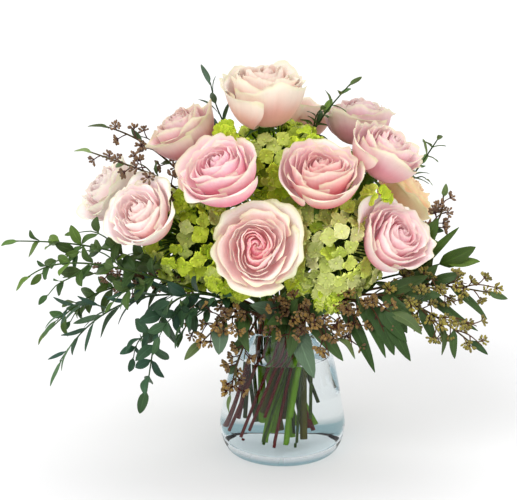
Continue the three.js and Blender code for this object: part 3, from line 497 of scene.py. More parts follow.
def leaf_material():
    """A pale rib, with side veins that slant away from it."""
    look = Look("leaf", Specular_IOR_Level=0.2, Subsurface_Weight=0.06,
                Subsurface_Radius=(0.001, 0.002, 0.0006), Subsurface_Scale=0.5)
    side, along, _ = look.blade_place()
    middle = look.maths("ABSOLUTE", side)
    rib = look.maths("SUBTRACT", 1.0, look.maths("MINIMUM", look.times(middle, 9.0), 1.0))
    slant = look.maths("SUBTRACT", look.times(along, 34.0), look.times(middle, 12.0))
    waves = look.maths("ABSOLUTE", look.maths("SINE", slant))
    veins = look.maths("SUBTRACT", 1.0, look.maths("POWER", waves, 6.0))
    mottle = look.object_noise(110.0, 4.0)
    look.tinted(look.span(mottle, 0.74, 1.24), look.span(rib, 1.0, 1.5), look.span(veins, 1.1, 0.97))
    look.set(Roughness=look.span(mottle, 0.36, 0.58))
    look.bump(look.maths("SUBTRACT", look.times(veins, 0.5), rib), 0.0003)
    return look.made


def stem_material():
    """Ribbed stems, without gloss where they stand in the water, and darker there: painted shade."""
    look = Look("stem")
    ribs, mottle = look.blade_noise(7.0, 22.0), look.object_noise(160.0)
    above_water = look.between_heights((WATER_LEVEL - 4) * METRE, WATER_LEVEL * METRE)
    # painted shade: below the water the stems' colour is darkened, for the dimmer light among them in the
    # vase
    look.tinted(look.span(ribs, 0.8, 1.2), look.span(mottle, 0.82, 1.18), look.span(above_water, 0.9, 1.0))
    look.set(Specular_IOR_Level=look.span(above_water, 0.0, 0.18), Roughness=look.span(mottle, 0.38, 0.6))
    look.bump(ribs, 0.0003)
    return look.made


def seed_material():
    """Ribbed, slightly powdery seeds."""
    look = Look("seed", Specular_IOR_Level=0.35, Sheen_Weight=0.15, Sheen_Roughness=0.6)
    ribs = look.maths("ABSOLUTE", look.maths("SINE", look.times(look.blade_place()[0], 6.0)))
    mottle = look.object_noise(520.0, 4.0)
    look.tinted(look.span(mottle, 0.62, 1.45), look.span(ribs, 0.85, 1.1))
    look.set(Roughness=look.span(mottle, 0.42, 0.7))
    look.bump(look.maths("ADD", ribs, mottle), 0.0004, 0.6)
    return look.made


def clear_look(name, colour, ior, shadow):
    """Glass or water. Lamps and soft light shine through it with a tint, as real caustics would fill it."""
    look = Look(name, Base_Color=(*colour, 1), Transmission_Weight=1.0, IOR=ior, Roughness=0.0)
    look.bump(look.object_noise(18.0, 2.0), 0.0002, 0.12)
    clear = look.add("BsdfTransparent", {"Color": (*shadow, 1)})[0]
    path = look.add("LightPath")
    through = look.maths("MAXIMUM", path["Is Shadow Ray"], path["Is Diffuse Ray"])
    mix = look.add("MixShader", {0: through, 1: look.shader.outputs[0], 2: clear})[0]
    look.feed(look.tree.nodes["Material Output"], {"Surface": mix})
    return look


def glass_material(name, ior, foot=GLASS_TINT):
    """Clear glass, which may be deeper blue-green low in its foot."""
    look = clear_look(name, WHITE, ior, (0.95, 0.975, 0.985))
    low = look.between_heights(0.013, 0.006)
    look.set(Base_Color=look.colour(*(look.span(low, *ends) for ends in zip(GLASS_TINT, foot))))
    return look.made


PETAL, FLORET, LEAF = petal_material(), floret_material(), leaf_material()
STEM, SEED = stem_material(), seed_material()
GLASS, WET_GLASS = glass_material("glass", GLASS_IOR), glass_material("wet_glass", GLASS_IOR / WATER_IOR)
FOOT_GLASS = glass_material("foot_glass", FOOT_IOR, FOOT_TINT)
WATER = clear_look("water", (0.99, 1.0, 1.0), WATER_IOR, WHITE).made
WATER_SIDE = clear_look("water_side", WHITE, 1.0, WHITE).made


# ---- vase and water
def outer_radius(z):
    if z < VASE.belly_height:
        return VASE.foot + (VASE.belly - VASE.foot) * math.sqrt(1 - (1 - z / VASE.belly_height) ** 2)
    share = (z - VASE.belly_height) / (VASE.height - VASE.belly_height)
    return VASE.belly - (VASE.belly - VASE.rim) * share**1.15


def inner_radius(z):
    if z > VASE.belly_height:
        return outer_radius(z) - VASE.wall
    share = 1 - (z - VASE.floor) / (VASE.belly_height - VASE.floor)
    return lerp(VASE.inner_foot, VASE.belly - VASE.wall, math.sqrt(max(1 - share**2, 0)))


def lathe(pile, outline, sides, finishes):
    """A closed solid of revolution. The outline runs from the axis below to the axis above, and each of
    its stretches has a material."""
    turn = np.arange(sides) * FULL_TURN / sides
    rings = [np.stack([r * np.cos(turn), r * np.sin(turn), np.full(sides, z)], 1) for r, z in outline[1:-1]]
    index, onward, walls = ring_faces(len(rings), sides)
    low = index.size
    floor = np.stack([onward[0], index[0], np.full(sides, low)], 1)
    roof = np.stack([index[-1], onward[-1], np.full(sides, low + 1)], 1)
    points = np.vstack(rings + [[[0, 0, outline[0][1]]], [[0, 0, outline[-1][1]]]])
    faces = [*walls.reshape(-1, sides, 4), floor, roof]
    pile.add(points, faces, (1, 1, 1), (0, 0, 0), finishes[1:-1] + [finishes[0], finishes[-1]])


def make_vase():
    shoulder = VASE.height - VASE.lip
    rise = list(linspace(0, 1, 14) ** 1.6 * VASE.belly_height)
    outside = [(outer_radius(z), z) for z in rise + list(linspace(WALL_START, shoulder, 14))]
    middle = VASE.rim - VASE.wall / 2
    lip = [(middle + VASE.wall / 2 * math.cos(a), shoulder + VASE.lip * math.sin(a))
           for a in linspace(0.4, 2.74, 5)]
    above_water = list(linspace(shoulder, WATER_LEVEL, 6))
    wet = [*linspace(WATER_LEVEL, WALL_START, 10)[1:],
           *(VASE.floor + (1 - linspace(0, 1, 12)) ** 1.6 * HEEL)]
    inside = [(inner_radius(z), z) for z in above_water + wet]
    pile = Pile()
    outline = [(0, 0), (VASE.foot - 2, 0)] + outside[1:] + lip + inside + [(0, VASE.floor)]
    low, below_water = len(rise) - 1, len(wet) + 1
    plain = len(outline) - low - below_water - 2
    lathe(pile, outline, ROUND,
          [WET_GLASS] + [FOOT_GLASS] * low + [GLASS] * plain + [WET_GLASS] * below_water)
    pile.piece("vase_glass", [GLASS, WET_GLASS, FOOT_GLASS], "vase")


def make_water():
    """The water meets the glass, and climbs it a little at its edge."""
    heights = [*(VASE.floor + linspace(0, 1, 10) ** 1.6 * HEEL),
               *linspace(WALL_START, WATER_LEVEL + 1, 12)]
    wall = [(inner_radius(z) + WETTING, z) for z in heights]
    edge = wall[-1][0]
    top = [(edge - 1.2, WATER_LEVEL + 0.3), (edge - 3.5, WATER_LEVEL), (edge / 2, WATER_LEVEL)]
    pile = Pile()
    lathe(pile, [(0, VASE.floor - WETTING)] + wall + top + [(0, WATER_LEVEL)], ROUND,
          [WATER_SIDE] * len(wall) + [WATER] * (len(top) + 1))
    pile.piece("vase_water", [WATER, WATER_SIDE], "water")


# ---- the sheaf of stems
def on_line(stem, z):
    reach = SHEAF.twist * (z - SHEAF.waist_height)
    x, y = stem.waist
    return vec(x - y * reach, y + x * reach, z)


def place_in_waist(stems):
    """Gives each stem its place in the waist, near the side that it leaves by."""
    def slope(stem):
        end = stem.neck[0]
        return math.hypot(end[0], end[1]) / max(end[2] - VASE.height, 20)

    for rank, stem in enumerate(sorted(stems, key=slope)):
        radius = SHEAF.waist_radius * math.sqrt((rank + 0.5) / len(stems))
        turn = math.atan2(stem.route[0][1], stem.route[0][0]) - SHEAF.lead
        stem.waist = vec(radius * math.cos(turn), radius * math.sin(turn))
    waist = np.array([stem.waist for stem in stems])
    radii = np.array([stem.radius for stem in stems])
    need = radii[:, None] + radii[None] + SHEAF.air
    np.fill_diagonal(need, -1)
    for _ in range(5 * BEND.passes):
        away = waist[:, None] - waist[None]
        far = norm(away, axis=2)
        lack = np.maximum(need - far, 0)
        waist = waist + (away * (0.5 * lack / np.maximum(far, 1e-9))[..., None]).sum(1)
        reach = norm(waist, axis=1, keepdims=True)
        waist = waist * np.minimum(1, SHEAF.waist_radius / reach)
    for stem, place in zip(stems, waist):
        stem.waist = place


def curve_through(points, count, start=0):
    """Points of a smooth curve through others, from a share of the way to its end."""
    points = np.asarray(points, dtype=float)
    ends = np.vstack([[2 * points[0] - points[1]], points, [2 * points[-1] - points[-2]]])
    spot = np.clip(linspace(start, 1, count) * (len(points) - 1), 0, len(points) - 1)
    part = np.minimum(spot.astype(int), len(points) - 2)
    w = (spot - part)[:, None]
    a, b, c, d = (ends[part + k] for k in range(4))
    leave, reach = 0.5 * (c - a), 0.5 * (d - b)
    return (b + leave * w + (3 * (c - b) - 2 * leave - reach) * w**2
            + (2 * (b - c) + leave + reach) * w**3)


def free_stretch(stem):
    control = [on_line(stem, SHEAF.top - BEND.lead), on_line(stem, SHEAF.top), *stem.route, stem.neck[0]]
    length = norm(np.diff(curve_through(control, 201), axis=0), axis=1).sum()
    count = int((length - BEND.lead) / BEND.step + 0.5)
    return curve_through(control, count + 1, 1 / (len(control) - 1))


def bend_clear(stems, keep_outs):
    """Bends the free stretches clear of each other and of the round keep-outs, and smooths them."""
    owner = np.concatenate([np.full(len(stem.free), i) for i, stem in enumerate(stems)])
    points = np.vstack([stem.free for stem in stems])
    radii = np.array([stem.radius for stem in stems])[owner]
    starts = np.concatenate([[0], np.cumsum([len(stem.free) for stem in stems])])
    inner = np.ones(len(points), bool)
    inner[starts[:-1]] = inner[starts[1:] - 1] = False
    for step in range(BEND.passes):
        if step % 10 == 0:
            gap = norm(points[:, None] - points[None], axis=2)
            near = (gap < 26) & (owner[:, None] < owner[None])
            first, second = np.nonzero(near)
            need = radii[first] + radii[second] + BEND.air
        moves = np.zeros_like(points)
        away = points[first] - points[second]
        far = norm(away, axis=1)
        push = away * (0.35 * np.maximum(need - far, 0) / np.maximum(far, 1e-9))[:, None]
        np.add.at(moves, first, push)
        np.add.at(moves, second, -push)
        for name, middle, radius in keep_outs:
            away = points - middle
            far = norm(away, axis=1)
            lack = np.maximum(radius + radii + 1 - far, 0)
            lack[owner == next((i for i, stem in enumerate(stems) if stem.name == name), -1)] = 0
            moves += away * (0.5 * lack / far)[:, None]
        halfway = 0.5 * (np.roll(points, 1, 0) + np.roll(points, -1, 0))
        points = np.where(inner[:, None], lerp(points, halfway, 0.3) + moves, points)
    for stem, a, b in zip(stems, starts[:-1], starts[1:]):
        stem.free = points[a:b]


# ---- roses
def bezier(a, b, c, d, t):
    s = 1 - t
    return a * s**3 + 3 * b * t * s**2 + 3 * c * t**2 * s + d * t**3


def petal_grid(u, v, opened, facing, number, flare):
    """The points of a petal before the bloom turns to its place. "opened" is 0 for the innermost petal
    and 1 for the outermost, and each petal lies on its own turned surface."""
    draw = [chance(31 * number + k) for k in range(9)]
    bloom = [FULL_TURN * chance(number // 40 + k) for k in range(4)]
    tip = 0.09 * opened * np.exp(-(((u - 0.3 * (draw[7] - 0.5)) / 0.22) ** 2)) * (0.2 + draw[0])
    nibble = 0.014 * opened * np.sin(19 * u + FULL_TURN * draw[8] + 2 * np.sin(7 * u + draw[2]))
    along = v * (1 - lerp(0.08, 0.15, opened) * np.abs(u) ** 2.6 + tip + nibble)
    o = opened + 0.09 * u
    half = lerp(0.72, lerp(1.65, 1.25, opened), smooth(0.15, 0.85, v))
    turn = facing + u * half
    peel = flare * smooth(0.55, 1, o)
    root = lerp(10.5, 3.5, smooth(0.3, 0.7, opened))
    out = bezier(4.5, lerp(6, 31, o), lerp(10, 41, o), lerp(0.4, 40, o) + 12 * peel, along)
    up = bezier(root, lerp(16, -3, o), lerp(43, 28, o), lerp(53, 48, o) - 12 * peel, along)
    up = up + 3.5 * (draw[5] - 0.5) * v * (1 - 0.5 * opened)
    middling = smooth(0.03, 0.35, opened) * (1 - 0.6 * smooth(0.6, 1, opened)) * smooth(0.2, 0.7, v)
    out = out + middling * (2.2 * np.sin(2 * turn + bloom[0] + 3 * opened)
                            + 1.7 * np.sin(3 * turn + bloom[1] - 4 * opened))
    up = up + middling * 2.0 * np.sin(2 * turn + bloom[2] + 2 * opened)
    rim = smooth(0.76, 1, along)
    side_roll = 0.5 + np.sin(np.pi * np.clip(np.abs(u), 0, 1) * 0.8) ** 2
    roll = rim**1.7 * side_roll * lerp(0.5, 4.6, opened**1.4) * (0.4 + 1.1 * draw[1])
    wave = np.sin(3.2 * u + FULL_TURN * draw[2]) * lerp(0.2, 1.7, opened)
    ruffle = np.sin(12 * u + FULL_TURN * draw[3] + 1.8 * np.sin(4 * u + 9 * draw[6]))
    ruffle = ruffle * lerp(0.1, 1.7, opened)
    out = out + roll * 0.6 + rim * (wave + ruffle)
    up = up - roll + rim * (np.sin(4.1 * u + FULL_TURN * draw[4]) * lerp(0.4, 1.8, opened) + 0.9 * ruffle)
    return np.stack([out * np.cos(turn), out * np.sin(turn), up], -1)


def make_bloom(rose, number):
    pile = Pile()
    deep, middle, edge, cup = [linear(c) for c in rose.colours]
    root_green, rim_green = linear((206, 214, 140)), linear((214, 212, 152))
    size = rose.width / (84 + 22 * rose.flare)
    turned = basis(rose.look)
    for k in range(ROSE.petals):
        opened = (k / (ROSE.petals - 1)) ** 1.5 + 0.03 * (chance(53 * number + k) - 0.5)
        opened = min(max(opened, 0), 1)
        columns = linspace(-1, 1, 17 if opened < 0.3 else 33)
        rows = linspace(0, 1, 11 if opened < 0.3 else 15) ** 0.8
        u, v = np.meshgrid(columns, rows)
        facing = GOLDEN_TURN * k + number
        grid = petal_grid(u, v, opened, facing, 40 * number + k, rose.flare)
        u3, v3 = u[..., None], v[..., None]
        fade = v3 * (1 + 0.05 * np.abs(u3) ** 3)
        inner = lerp(middle, deep, rose.heart * (1 - smooth(0.1, 0.5, opened)))
        tint = lerp(deep, inner, smooth(0.5, 0.92, v3) * lerp(0.85, 1, opened))
        rim = smooth(lerp(0.93, 0.84, opened), 1, fade)
        tint = lerp(tint, edge, rim * lerp(0.35, 0.9, opened))
        tint = lerp(tint, edge, rose.guard * smooth(0.65, 0.95, opened) * smooth(0.55, 0.95, fade))
        tint = lerp(tint, rim_green, 0.6 * smooth(0.4, 1, opened) * smooth(0.93, 1, fade))
        tint = lerp(root_green, tint, smooth(0.0, 0.2, v3))
        back = lerp(cup, edge, rim * lerp(0.3, 0.9, opened))
        back = lerp(root_green, back, smooth(0.0, 0.22, v3))
        back = lerp(lerp(deep, back, 0.6), back, smooth(0.2, 0.6, opened))
        place = np.stack([u, v, np.full_like(u, chance(k + 77 * number))], -1)
        made = (grid * size * vec(1, 1, rose.tall)) @ turned + rose.foot
        hollow = 0.35 if chance(19 * number + k) < 0.25 else 1
        hidden = (1 - smooth(0.58, 0.88, v3)) * (1 - smooth(0.72, 0.85, opened))
        pile.blade(made, ROSE.petal, tint, back, place, lerp(1.0, 4.0, opened) * hollow * size * hidden)
    ends = [rose.down(2), *(rose.down(-h * size) for h in (4, 9, 16, 24))]
    pile.tube(ends, np.array([5, 5.5, 5, 3.6, 0.8]) * size, 12, root_green)
    pile.piece(f"{rose.name}_petals", [PETAL], f"{rose.name}_bloom")


def rose_stem(stem):
    """The stem widens to the hip, from which five sepals reach out below the bloom."""
    rose = stem.rose
    pile = Pile()
    green = linear(lerp(vec(36, 70, 12), vec(92, 130, 32), chance(stem.number + 3)))
    foot = linear((88, 126, 26))
    path = np.vstack([line_in_vase(stem), stem.free[1:]])
    nodes = 1 + 0.1 * np.exp(-((np.arange(len(path)) % 8 - 4) ** 2))
    pile.tube(path, stem.radius * nodes, 10, foot, tip_tint=green)
    hip = [rose.down(d) for d in (26, 18, ROSE.hip_length, 10, 6, 3, 0.5)]
    pile.tube(hip, [2.7, 3.2, 4.6, 6, 6.3, 5.6, 5], 12, green)
    sides = across(rose.face)
    for i in range(5):
        out = spoke(sides, FULL_TURN * i / 5 + stem.number)
        root = rose.down(4) + 3 * out
        tip = rose.down(4 + SEPAL.drop) + SEPAL.length * out
        leaf(pile, root, tip, SEPAL.width, rose.face, 0.35, green, green * 1.3, stem.number + i, 0.16)
    pile.piece(f"{stem.name}_cane", [STEM], f"{stem.name}_stem")


def line_in_vase(stem):
    return np.array([on_line(stem, z) for z in linspace(stem.foot, SHEAF.top, 9)])


# ---- leaves and seeds
def leaf(pile, root, tip, width, up, waist, front, back, number, arch=0.08):
    """A leaf from root to tip on a short stalk, folded a little along its rib."""
    reach = tip - root
    length = norm(reach)
    along = reach / length
    side = unit(np.cross(along, up))
    face = np.cross(side, along)
    draw = [chance(17 * number + k) - 0.5 for k in range(5)]
    v, u = np.meshgrid(linspace(0, 1, 11), linspace(-1, 1, 7), indexing="ij")
    bell = np.sin(np.pi * v ** (math.log(0.5) / math.log(waist))) ** 0.62
    half = 0.5 * width * np.where(v < 0.02, 0.04, np.maximum(bell, 0.03)) * smooth(-0.03, 0.16, v)
    half = np.maximum(half, 0.35)
    twist = 0.9 * draw[0] * v
    lateral = u * half * np.cos(twist)
    height = arch * length * np.sin(np.pi * v) + length * 0.1 * draw[1] * v**2
    height = height + np.abs(u) * half * 0.22 + u * half * np.sin(twist)
    height = height + 0.06 * width * np.sin(7 * v + 6 * draw[2]) * u**2
    bow = length * 0.12 * draw[3] * np.sin(np.pi * v)
    grid = (root + v[..., None] * reach + (lateral + bow)[..., None] * side + height[..., None] * face)
    place = np.stack([u, v, np.full_like(u, draw[4] + 0.5)], -1)
    pile.blade(grid, 0.5, front, back, place)


BUD_STATIONS = np.array([0, 0.18, 0.4, 0.62, 0.8, 0.92, 1.0])
BUD_RADII = np.array([0.3, 0.45, 0.85, 1.0, 0.9, 0.5, 0.12])


def seed_cluster(pile, place, direction, turn, number, tone, size=1.0):
    """A twig that forks into a short umbel of club-shaped seeds with pointed caps."""
    out = unit(spoke(across(direction), turn) + 0.7 * direction)
    brown, gold, tip_colour, twig_colour = tone
    reach = size * lerp(7, 14, chance(number + 5))
    middle = place + reach * out
    fork = [place, lerp(place, middle, 0.5) + 0.4 * direction, middle]
    pile.tube(fork, [0.75, 0.6, 0.6], 5, twig_colour, STEM)
    sides = across(out)
    for i in range(9 + int(4 * chance(number + 9))):
        ring = 0.25 if i == 0 else 1.0 + 0.45 * (chance(number * 13 + i) - 0.5)
        way = unit(out * math.cos(ring) + spoke(sides, GOLDEN_TURN * i + number) * math.sin(ring))
        stalk = size * (2.2 + 1.8 * chance(number * 3 + i))
        start = middle + stalk * way
        pile.tube([middle, start], [0.4, 0.4], 4, twig_colour, STEM)
        mix = 0.5 * chance(number * 7 + i) + 0.5 * chance(number * 17)
        length = size * lerp(4.3, 6.3, chance(number * 5 + i))
        path = start - 0.2 * way + np.outer(BUD_STATIONS * length, way)
        pile.tube(path, size * 1.4 * BUD_RADII, 7, lerp(brown, gold, mix), SEED,
                  lerp(tip_colour, brown, 0.4 * mix), 2.4)


# ---- hydrangeas
def floret(pile, centre, axis, turn, size, tint, back, number):
    """Four cupped sepals around a small bead."""
    sides = across(axis)
    v, u = np.meshgrid(linspace(0, 1, 8), linspace(-1, 1, 7), indexing="ij")
    lift = lerp(0.15, 0.85, chance(number * 3 + 1))
    for lobe in range(4):
        draw = [chance(number * 11 + 5 * lobe + k) - 0.5 for k in range(6)]
        out = spoke(sides, turn + lobe * FULL_TURN / 4 + 0.3 * draw[0])
        side = np.cross(axis, out)
        length = size * (1 + 0.22 * draw[1])
        bell = np.sin(np.pi * np.clip(v, 0, 1) ** 0.9 * 0.9 + 0.06) ** 0.6
        half = 0.5 * size * (1.12 + 0.2 * draw[2]) * bell
        lateral = u * half
        forward = length * (v - 0.1 * v**2 * np.abs(u) ** 2)
        cup = length * (lift * v - (0.16 + 0.3 * draw[3] + 0.4 * lift) * v**3)
        cup = cup + 0.2 * half * u**2 * (1 - 0.5 * v)
        cup = cup + 0.45 * draw[4] * lateral + 0.2 * size * np.sin(7 * u + 9 * draw[5] + 2 * v) * v**2
        grid = centre + forward[..., None] * out + lateral[..., None] * side + cup[..., None] * axis
        # painted shade: each sepal is darker towards its base, where the florets shade each other
        painted_base_shade = lerp(0.6, 1.1, smooth(0.05, 0.8, v))[..., None]
        place = np.stack([u, v, np.full_like(u, draw[0] + 0.5)], -1)
        pile.blade(grid, 0.4, tint * painted_base_shade, back, place)
    bead = [centre - 0.6 * axis, centre + 0.6 * axis, centre + 1.5 * axis, centre + 2.1 * axis]
    pile.tube(bead, [0.9, 1.5, 1.3, 0.3], 6, tint * vec(0.85, 0.9, 0.7))


def clear_of_blooms(point, share, margin=0):
    return all(norm(point - rose.middle) > share * rose.width + margin for rose in roses)


def floret_on_branch(pile, head, number, i, centre, lean, draw, shadow, pale=1.0):
    """A floret at the end of its own branch from the stem's end."""
    lime, fresh, shade = linear((212, 230, 70)), linear((150, 180, 22)), linear((62, 90, 22))
    cream = linear((234, 236, 164))
    mix = min(max(head.pale * pale + 0.9 * (draw[4] - 0.55), 0), 1)
    tint = lerp(lerp(lime, fresh, draw[5]), cream, mix) * head.bright * shadow
    size = HYDRANGEA.sepal * lerp(0.84, 1.14, draw[3])
    floret(pile, centre, lean, FULL_TURN * draw[5], size, tint, tint * 0.72, i + 200 * number)
    stem_end = head.middle + HYDRANGEA.seat * head.down
    bend = head.middle + 0.35 * (centre - head.middle)
    branch = curve_through([stem_end, bend, centre - 0.5 * lean], 5)
    pile.tube(branch, [1.3, 1.1, 0.9, 0.8, 0.8], 5, shade, STEM)


def make_head(head, number):
    """Florets all round a head of branches, apart from where the stem comes in or a bloom stands."""
    pile = Pile()
    tilt = basis(-head.down) if head.down[2] > -0.999 else np.eye(3)
    for i in range(head.florets):
        height = 1 - 2 * (i + 0.5) / head.florets
        ring = math.sqrt(1 - height * height)
        turn = i * GOLDEN_TURN + number
        axis = vec(ring * math.cos(turn), ring * math.sin(turn), height) @ tilt
        draw = [chance(7 * i + 100 * number + k) for k in range(6)]
        if axis.dot(head.down) > 0.93:
            continue
        axis = unit(axis + 0.12 * (vec(*draw[2:5]) - 0.5))
        lumps = np.sin(6.3 * axis + number + vec(0, 2, 4)).sum()
        reach = head.radius - 7 + 8 * (draw[0] - 0.5) + 2 * lumps
        centre = head.middle + reach * axis
        if clear_of_blooms(centre, 0.42, 3):
            lean = unit(axis + 1.1 * (vec(*draw[1:4]) - 0.5))
            # painted shadow and light: florets in the dips between the lumps are darker, those on top a
            # little lighter
            shadow = lerp(0.7, 1.08, smooth(-2, 2, lumps))
            floret_on_branch(pile, head, number, i, centre, lean, draw, shadow)
    for group, around in enumerate(head.more):
        for i in range(CLUSTER.florets):
            draw = [chance(9 * i + 300 * number + 1000 * group + k) for k in range(6)]
            lean = unit(vec(*draw[:3]) - 0.5 + vec(0, -0.45, -0.1))
            centre = around + CLUSTER.radius * lean
            if clear_of_blooms(centre, 0.46, 3):
                branch = 500 + 100 * group + i
                floret_on_branch(pile, head, number, branch, centre, lean, draw, 1.0, CLUSTER.pale)
    core = [head.middle + (HYDRANGEA.seat - 2 * HYDRANGEA.core * t) * head.down
            for t in linspace(0, 1, 7)]
    pile.tube(core, [4, 13, 18, 19, 18, 13, 3], 12, linear((44, 66, 18)), STEM)
    pile.piece(f"{head.name}_florets", [FLORET, STEM], f"{head.name}_head")


def hydrangea_stem(stem):
    pile = Pile()
    brown, green = linear((66, 64, 16)), linear((78, 104, 32))
    path = np.vstack([line_in_vase(stem), stem.free[1:], stem.neck[1:]])
    pile.tube(path, np.full(len(path), stem.radius), 10, brown, tip_tint=green)
    pile.piece(f"{stem.name}_cane", [STEM], f"{stem.name}_stem")


# ---- sprays
def along_path(path, share):
    """The point and the direction at a share of a path's length."""
    steps = norm(np.diff(path, axis=0), axis=1)
    ends = np.concatenate([[0], np.cumsum(steps)])
    place = min(max(share, 0), 1) * ends[-1]
    k = min(int(np.searchsorted(ends, place, side="right")) - 1, len(steps) - 1)
    point = lerp(path[k], path[k + 1], (place - ends[k]) / steps[k])
    before, after = path[max(k - 1, 0)], path[min(k + 2, len(path) - 1)]
    return point, unit(after - before)


def clear(point):
    """Whether a point is outside every bloom and head."""
    return clear_of_blooms(point, 0.47) and all(norm(point - h.middle) > h.radius - 6 for h in heads)


def leaves_along(pile, path, bare, kind, number, scale=1.0):
    length = (1 - bare) * norm(np.diff(path, axis=0), axis=1).sum()
    count = max(int(length / (kind.spacing * scale)), 1)
    for i in range(count + 1):
        share = lerp(bare, 0.99, i / count)
        root, direction = along_path(path, share)
        last = i == count
        lean = 0.15 if last else kind.lean
        for half in range(2 if kind.pairs and not last else 1):
            draw = chance(i + 13 * number + 500 * half)
            size = kind.leaf * scale * lerp(1, 0.72, i / count) * (0.82 + 0.36 * draw)
            roll = (1.2 * i + math.pi * half if kind.pairs else GOLDEN_TURN * i) + number
            outward = vec(0.3 * np.sign(root[0]), 0.75 * np.sign(root[1] - 5), 0.6)
            for turn in (0, 0.45, -0.45, 0.9, -0.9, 1.35, -1.35):
                out = spoke(across(direction), roll + turn)
                stalk = root + 0.06 * size * unit(direction + out)
                tip = stalk + size * (math.cos(lean) * direction + math.sin(lean) * out)
                tip[2] -= 0.12 * size
                if clear(tip) and clear(lerp(stalk, tip, 0.5)):
                    up = 0.55 * (math.sin(lean) * direction - math.cos(lean) * out) + outward
                    tone = lerp(0.65, 1.3, chance(91 * number + 3 * i + half))
                    front = linear(kind.green) * tone * vec(lerp(0.85, 1.2, draw), 1, lerp(1.2, 0.85, draw))
                    front = lerp(front, linear(kind.young) * tone, smooth(0.6, 0.95, share) * draw)
                    pile.tube([root, stalk + 0.4 * out], [0.5, 0.4], 4, front * 1.3, STEM)
                    leaf(pile, stalk, tip, size * kind.width / kind.leaf, up, kind.waist, front,
                         linear(kind.back) * tone, 1000 * number + 10 * i + half)
                    break


def seeds_along(pile, path, bare, kind, number, scale):
    tone = [linear(colour) for colour in TONES[kind.tone]]
    length = (1 - bare) * norm(np.diff(path, axis=0), axis=1).sum()
    count = max(int(length / kind.seeds), 2)
    for i in range(count):
        place, direction = along_path(path, lerp(bare, 0.98, (i + 0.5) / count))
        for turn in (0, 0.8, -0.8, 1.6, -1.6):
            roll = GOLDEN_TURN * i + number + turn
            if clear(place + 17 * unit(spoke(across(direction), roll) + 0.7 * direction)):
                size = scale * lerp(1.05, 0.8, i / count)
                seed_cluster(pile, place, direction, roll, 40 * number + i, tone, size)
                break


def twig(pile, points, count, tint):
    """A thin tapering twig, and the path that it follows."""
    path = curve_through(points, count)
    pile.tube(path, linspace(0.9, 0.5, count), 5, tint, STEM)
    return path


def make_spray(stem):
    kind, number, path = stem.spray, stem.number, stem.free
    pile = Pile()
    green = linear(kind.green) * 1.2
    bark = linear((80, 20, 18) if kind.seeds else (42, 60, 14))
    whole = np.vstack([line_in_vase(stem), path[1:]])
    taper = lerp(1, 0.5, linspace(0, 1, len(whole)) ** 1.5)
    pile.tube(whole, stem.radius * taper, 7, bark, STEM, lerp(bark, green, 0.5))
    for k, (share, tip, width, *tone) in enumerate(kind.own):
        root = along_path(path, share)[0]
        front = linear(tone[0] if tone else kind.green) * lerp(0.85, 1.25, chance(number + k))
        leaf(pile, root, vec(*tip), width, vec(0, -1, 0.4), kind.waist, front, linear(kind.back),
             77 * number + k)
    for k, (share, end) in enumerate(kind.twigs):
        root, end = along_path(path, share)[0], vec(*end)
        bow = lerp(root, end, 0.5) + 0.15 * norm(end - root) * vec(0, -0.5, 0.8)
        made = twig(pile, [root, bow, end], 7, lerp(bark, green, 0.3))
        seeds_along(pile, made, 0.35, kind, number + 70 + k, 0.9)
    leaves_along(pile, path, kind.bare, kind, number)
    for k in range(kind.shoots):
        root, direction = along_path(path, lerp(kind.bare - 0.05, 0.82, (k + 0.5) / kind.shoots))
        level = unit(np.cross(direction, vec(0, 0, 1)) + 1e-6) * (1 if k % 2 else -1)
        lift = vec(0, 0, 1 if chance(number * 5 + k) > 0.4 else -1)
        out = unit(0.75 * direction + 0.35 * level + 0.5 * lift)
        reach = kind.shoot_length * lerp(0.75, 1.15, chance(number * 9 + k))
        points = [root, root + 0.4 * reach * out,
                  root + 0.75 * reach * unit(out + 0.25 * direction - vec(0, 0, 0.1)),
                  root + reach * unit(out + 0.4 * direction - vec(0, 0, 0.35))]
        if all(clear(point) for point in curve_through(points, 8)[3:]):
            made = twig(pile, points, 8, lerp(bark, green, 0.6))
            if kind.seeds:
                seeds_along(pile, made, 0.25, kind, number + 50 + k, 0.9)
            else:
                leaves_along(pile, made, 0.2, kind, number + 50 + k, 0.78)
    if kind.seeds:
        seeds_along(pile, path, kind.bare, kind, number, 1.0)
    pile.piece(f"{stem.name}_foliage", [LEAF, SEED, STEM], stem.name)


# ---- the arrangement
def given(values, **defaults):
    """An item of a table, with its places as vectors."""
    made = Values(**{**defaults, **values})
    if "middle" in values:
        made.middle = vec(*made.middle)
    return made


roses, heads, stems = [], [], []
for i, values in enumerate(ROSES):
    rose = given(values, look=values["face"], tall=1, heart=0.12)
    rose.name, rose.face, rose.look = f"rose_{i + 1:02d}", unit(vec(*rose.face)), unit(vec(*rose.look))
    rose.base, rose.foot = (rose.middle - way * ROSE.middle_height * rose.width / ROSE.width
                            for way in (rose.face, rose.look))
    rose.down = lambda distance, r=rose: r.base - distance * r.face
    roses.append(rose)
    neck = [rose.down(d) for d in (24, ROSE.hip_length, 6, SEAT_GAP)]
    stems.append(Values(
        name=rose.name, rose=rose, radius=ROSE.stem_radius, route=[rose.down(46)], neck=neck))
for i, values in enumerate(HYDRANGEAS):
    head = given(values, more=())
    head.name, head.more = f"hydrangea_{i + 1}", [vec(*place) for place in head.more]
    head.down = unit(vec(0, 0, VASE.height) - head.middle)
    heads.append(head)
    route, *neck = (head.middle + (HYDRANGEA.seat + d) * head.down for d in (34, 14, SEAT_GAP))
    stems.append(Values(
        name=head.name, head=head, radius=HYDRANGEA.stem_radius, route=[route], neck=neck))
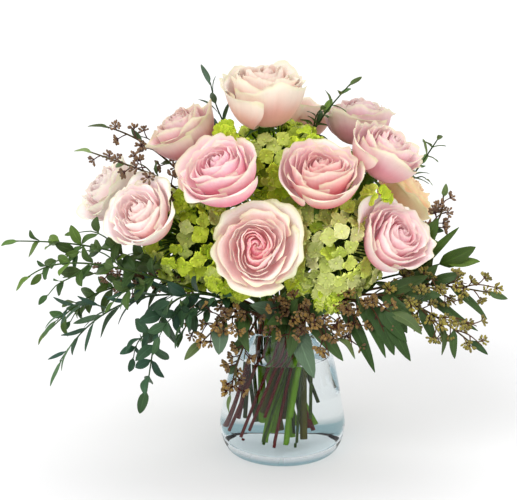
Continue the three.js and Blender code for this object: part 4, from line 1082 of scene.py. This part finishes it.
for name, values in SPRAYS.items():
    spray = given({**KINDS[name.split("_")[0]], **values}, own=(), twigs=())
    *route, end = (vec(*place) for place in spray.route)
    stems.append(Values(name=name, spray=spray, radius=spray.stem, route=route, neck=[end]))
for i, stem in enumerate(stems):
    stem.number = i
    stem.foot = VASE.floor + SHEAF.foot_air + SHEAF.foot_spread * chance(i) ** 2
place_in_waist(stems)
for stem in stems:
    stem.free = free_stretch(stem)
bend_clear(stems, [
    *((r.name, r.middle, ROSE.keep_out * r.width / ROSE.width) for r in roses),
    *((h.name, h.middle, HYDRANGEA.core) for h in heads),
])

make_vase()
make_water()
for stem in stems:
    if hasattr(stem, "rose"):
        make_bloom(stem.rose, stem.number)
        rose_stem(stem)
    elif hasattr(stem, "head"):
        make_head(stem.head, stem.number)
        hydrangea_stem(stem)
    else:
        make_spray(stem)


# ---- floor, light and camera
def make_floor():
    mesh = bpy.data.meshes.new("floor")
    mesh.from_pydata([(-9, -9, 0), (9, -9, 0), (9, 9, 0), (-9, 9, 0)], [], [(0, 1, 2, 3)])
    look = Look("floor", Roughness=0.7, Specular_IOR_Level=0.2)
    speck = look.object_noise(3.0)
    look.set(Base_Color=look.colour(*(look.span(speck, low, low + 0.015) for low in (0.71, 0.71, 0.715))))
    mesh.materials.append(look.made)
    placed("floor", mesh)


def soft_sun(name, source, spread, strength):
    """A distant soft lamp, which lights the floor evenly."""
    light = bpy.data.lights.new(name, "SUN")
    light.angle = math.radians(spread)
    light.energy = strength
    x, y, z = unit(vec(*source))
    placed(name, light).rotation_euler = (math.acos(z), 0, math.atan2(x, -y))


make_floor()
soft_sun("key", (-0.9, -1.5, 1.6), 28, 1.35)
soft_sun("fill", (1.5, -1.2, 0.8), 60, 0.45)
soft_sun("top", (0.1, 0.5, 2.0), 45, 0.75)
world = bpy.data.worlds.new("studio")
world.use_nodes = True
world.node_tree.nodes["Background"].inputs["Color"].default_value = (1, 1, 1, 1)
world.node_tree.nodes["Background"].inputs["Strength"].default_value = 1.0
scene = bpy.context.scene
scene.world = world
scene.view_settings.view_transform = "Standard"

ELEVATION = math.radians(17)
TARGET = np.array((-24.5, 0, 212)) * METRE
DISTANCE = 2.0
camera = bpy.data.cameras.new("camera")
camera.lens = 139.3
camera.sensor_width = 36
scene.camera = placed("camera", camera)
scene.camera.location = TARGET + DISTANCE * vec(0, -math.cos(ELEVATION), math.sin(ELEVATION))
scene.camera.rotation_euler = (math.pi / 2 - ELEVATION, 0, 0)
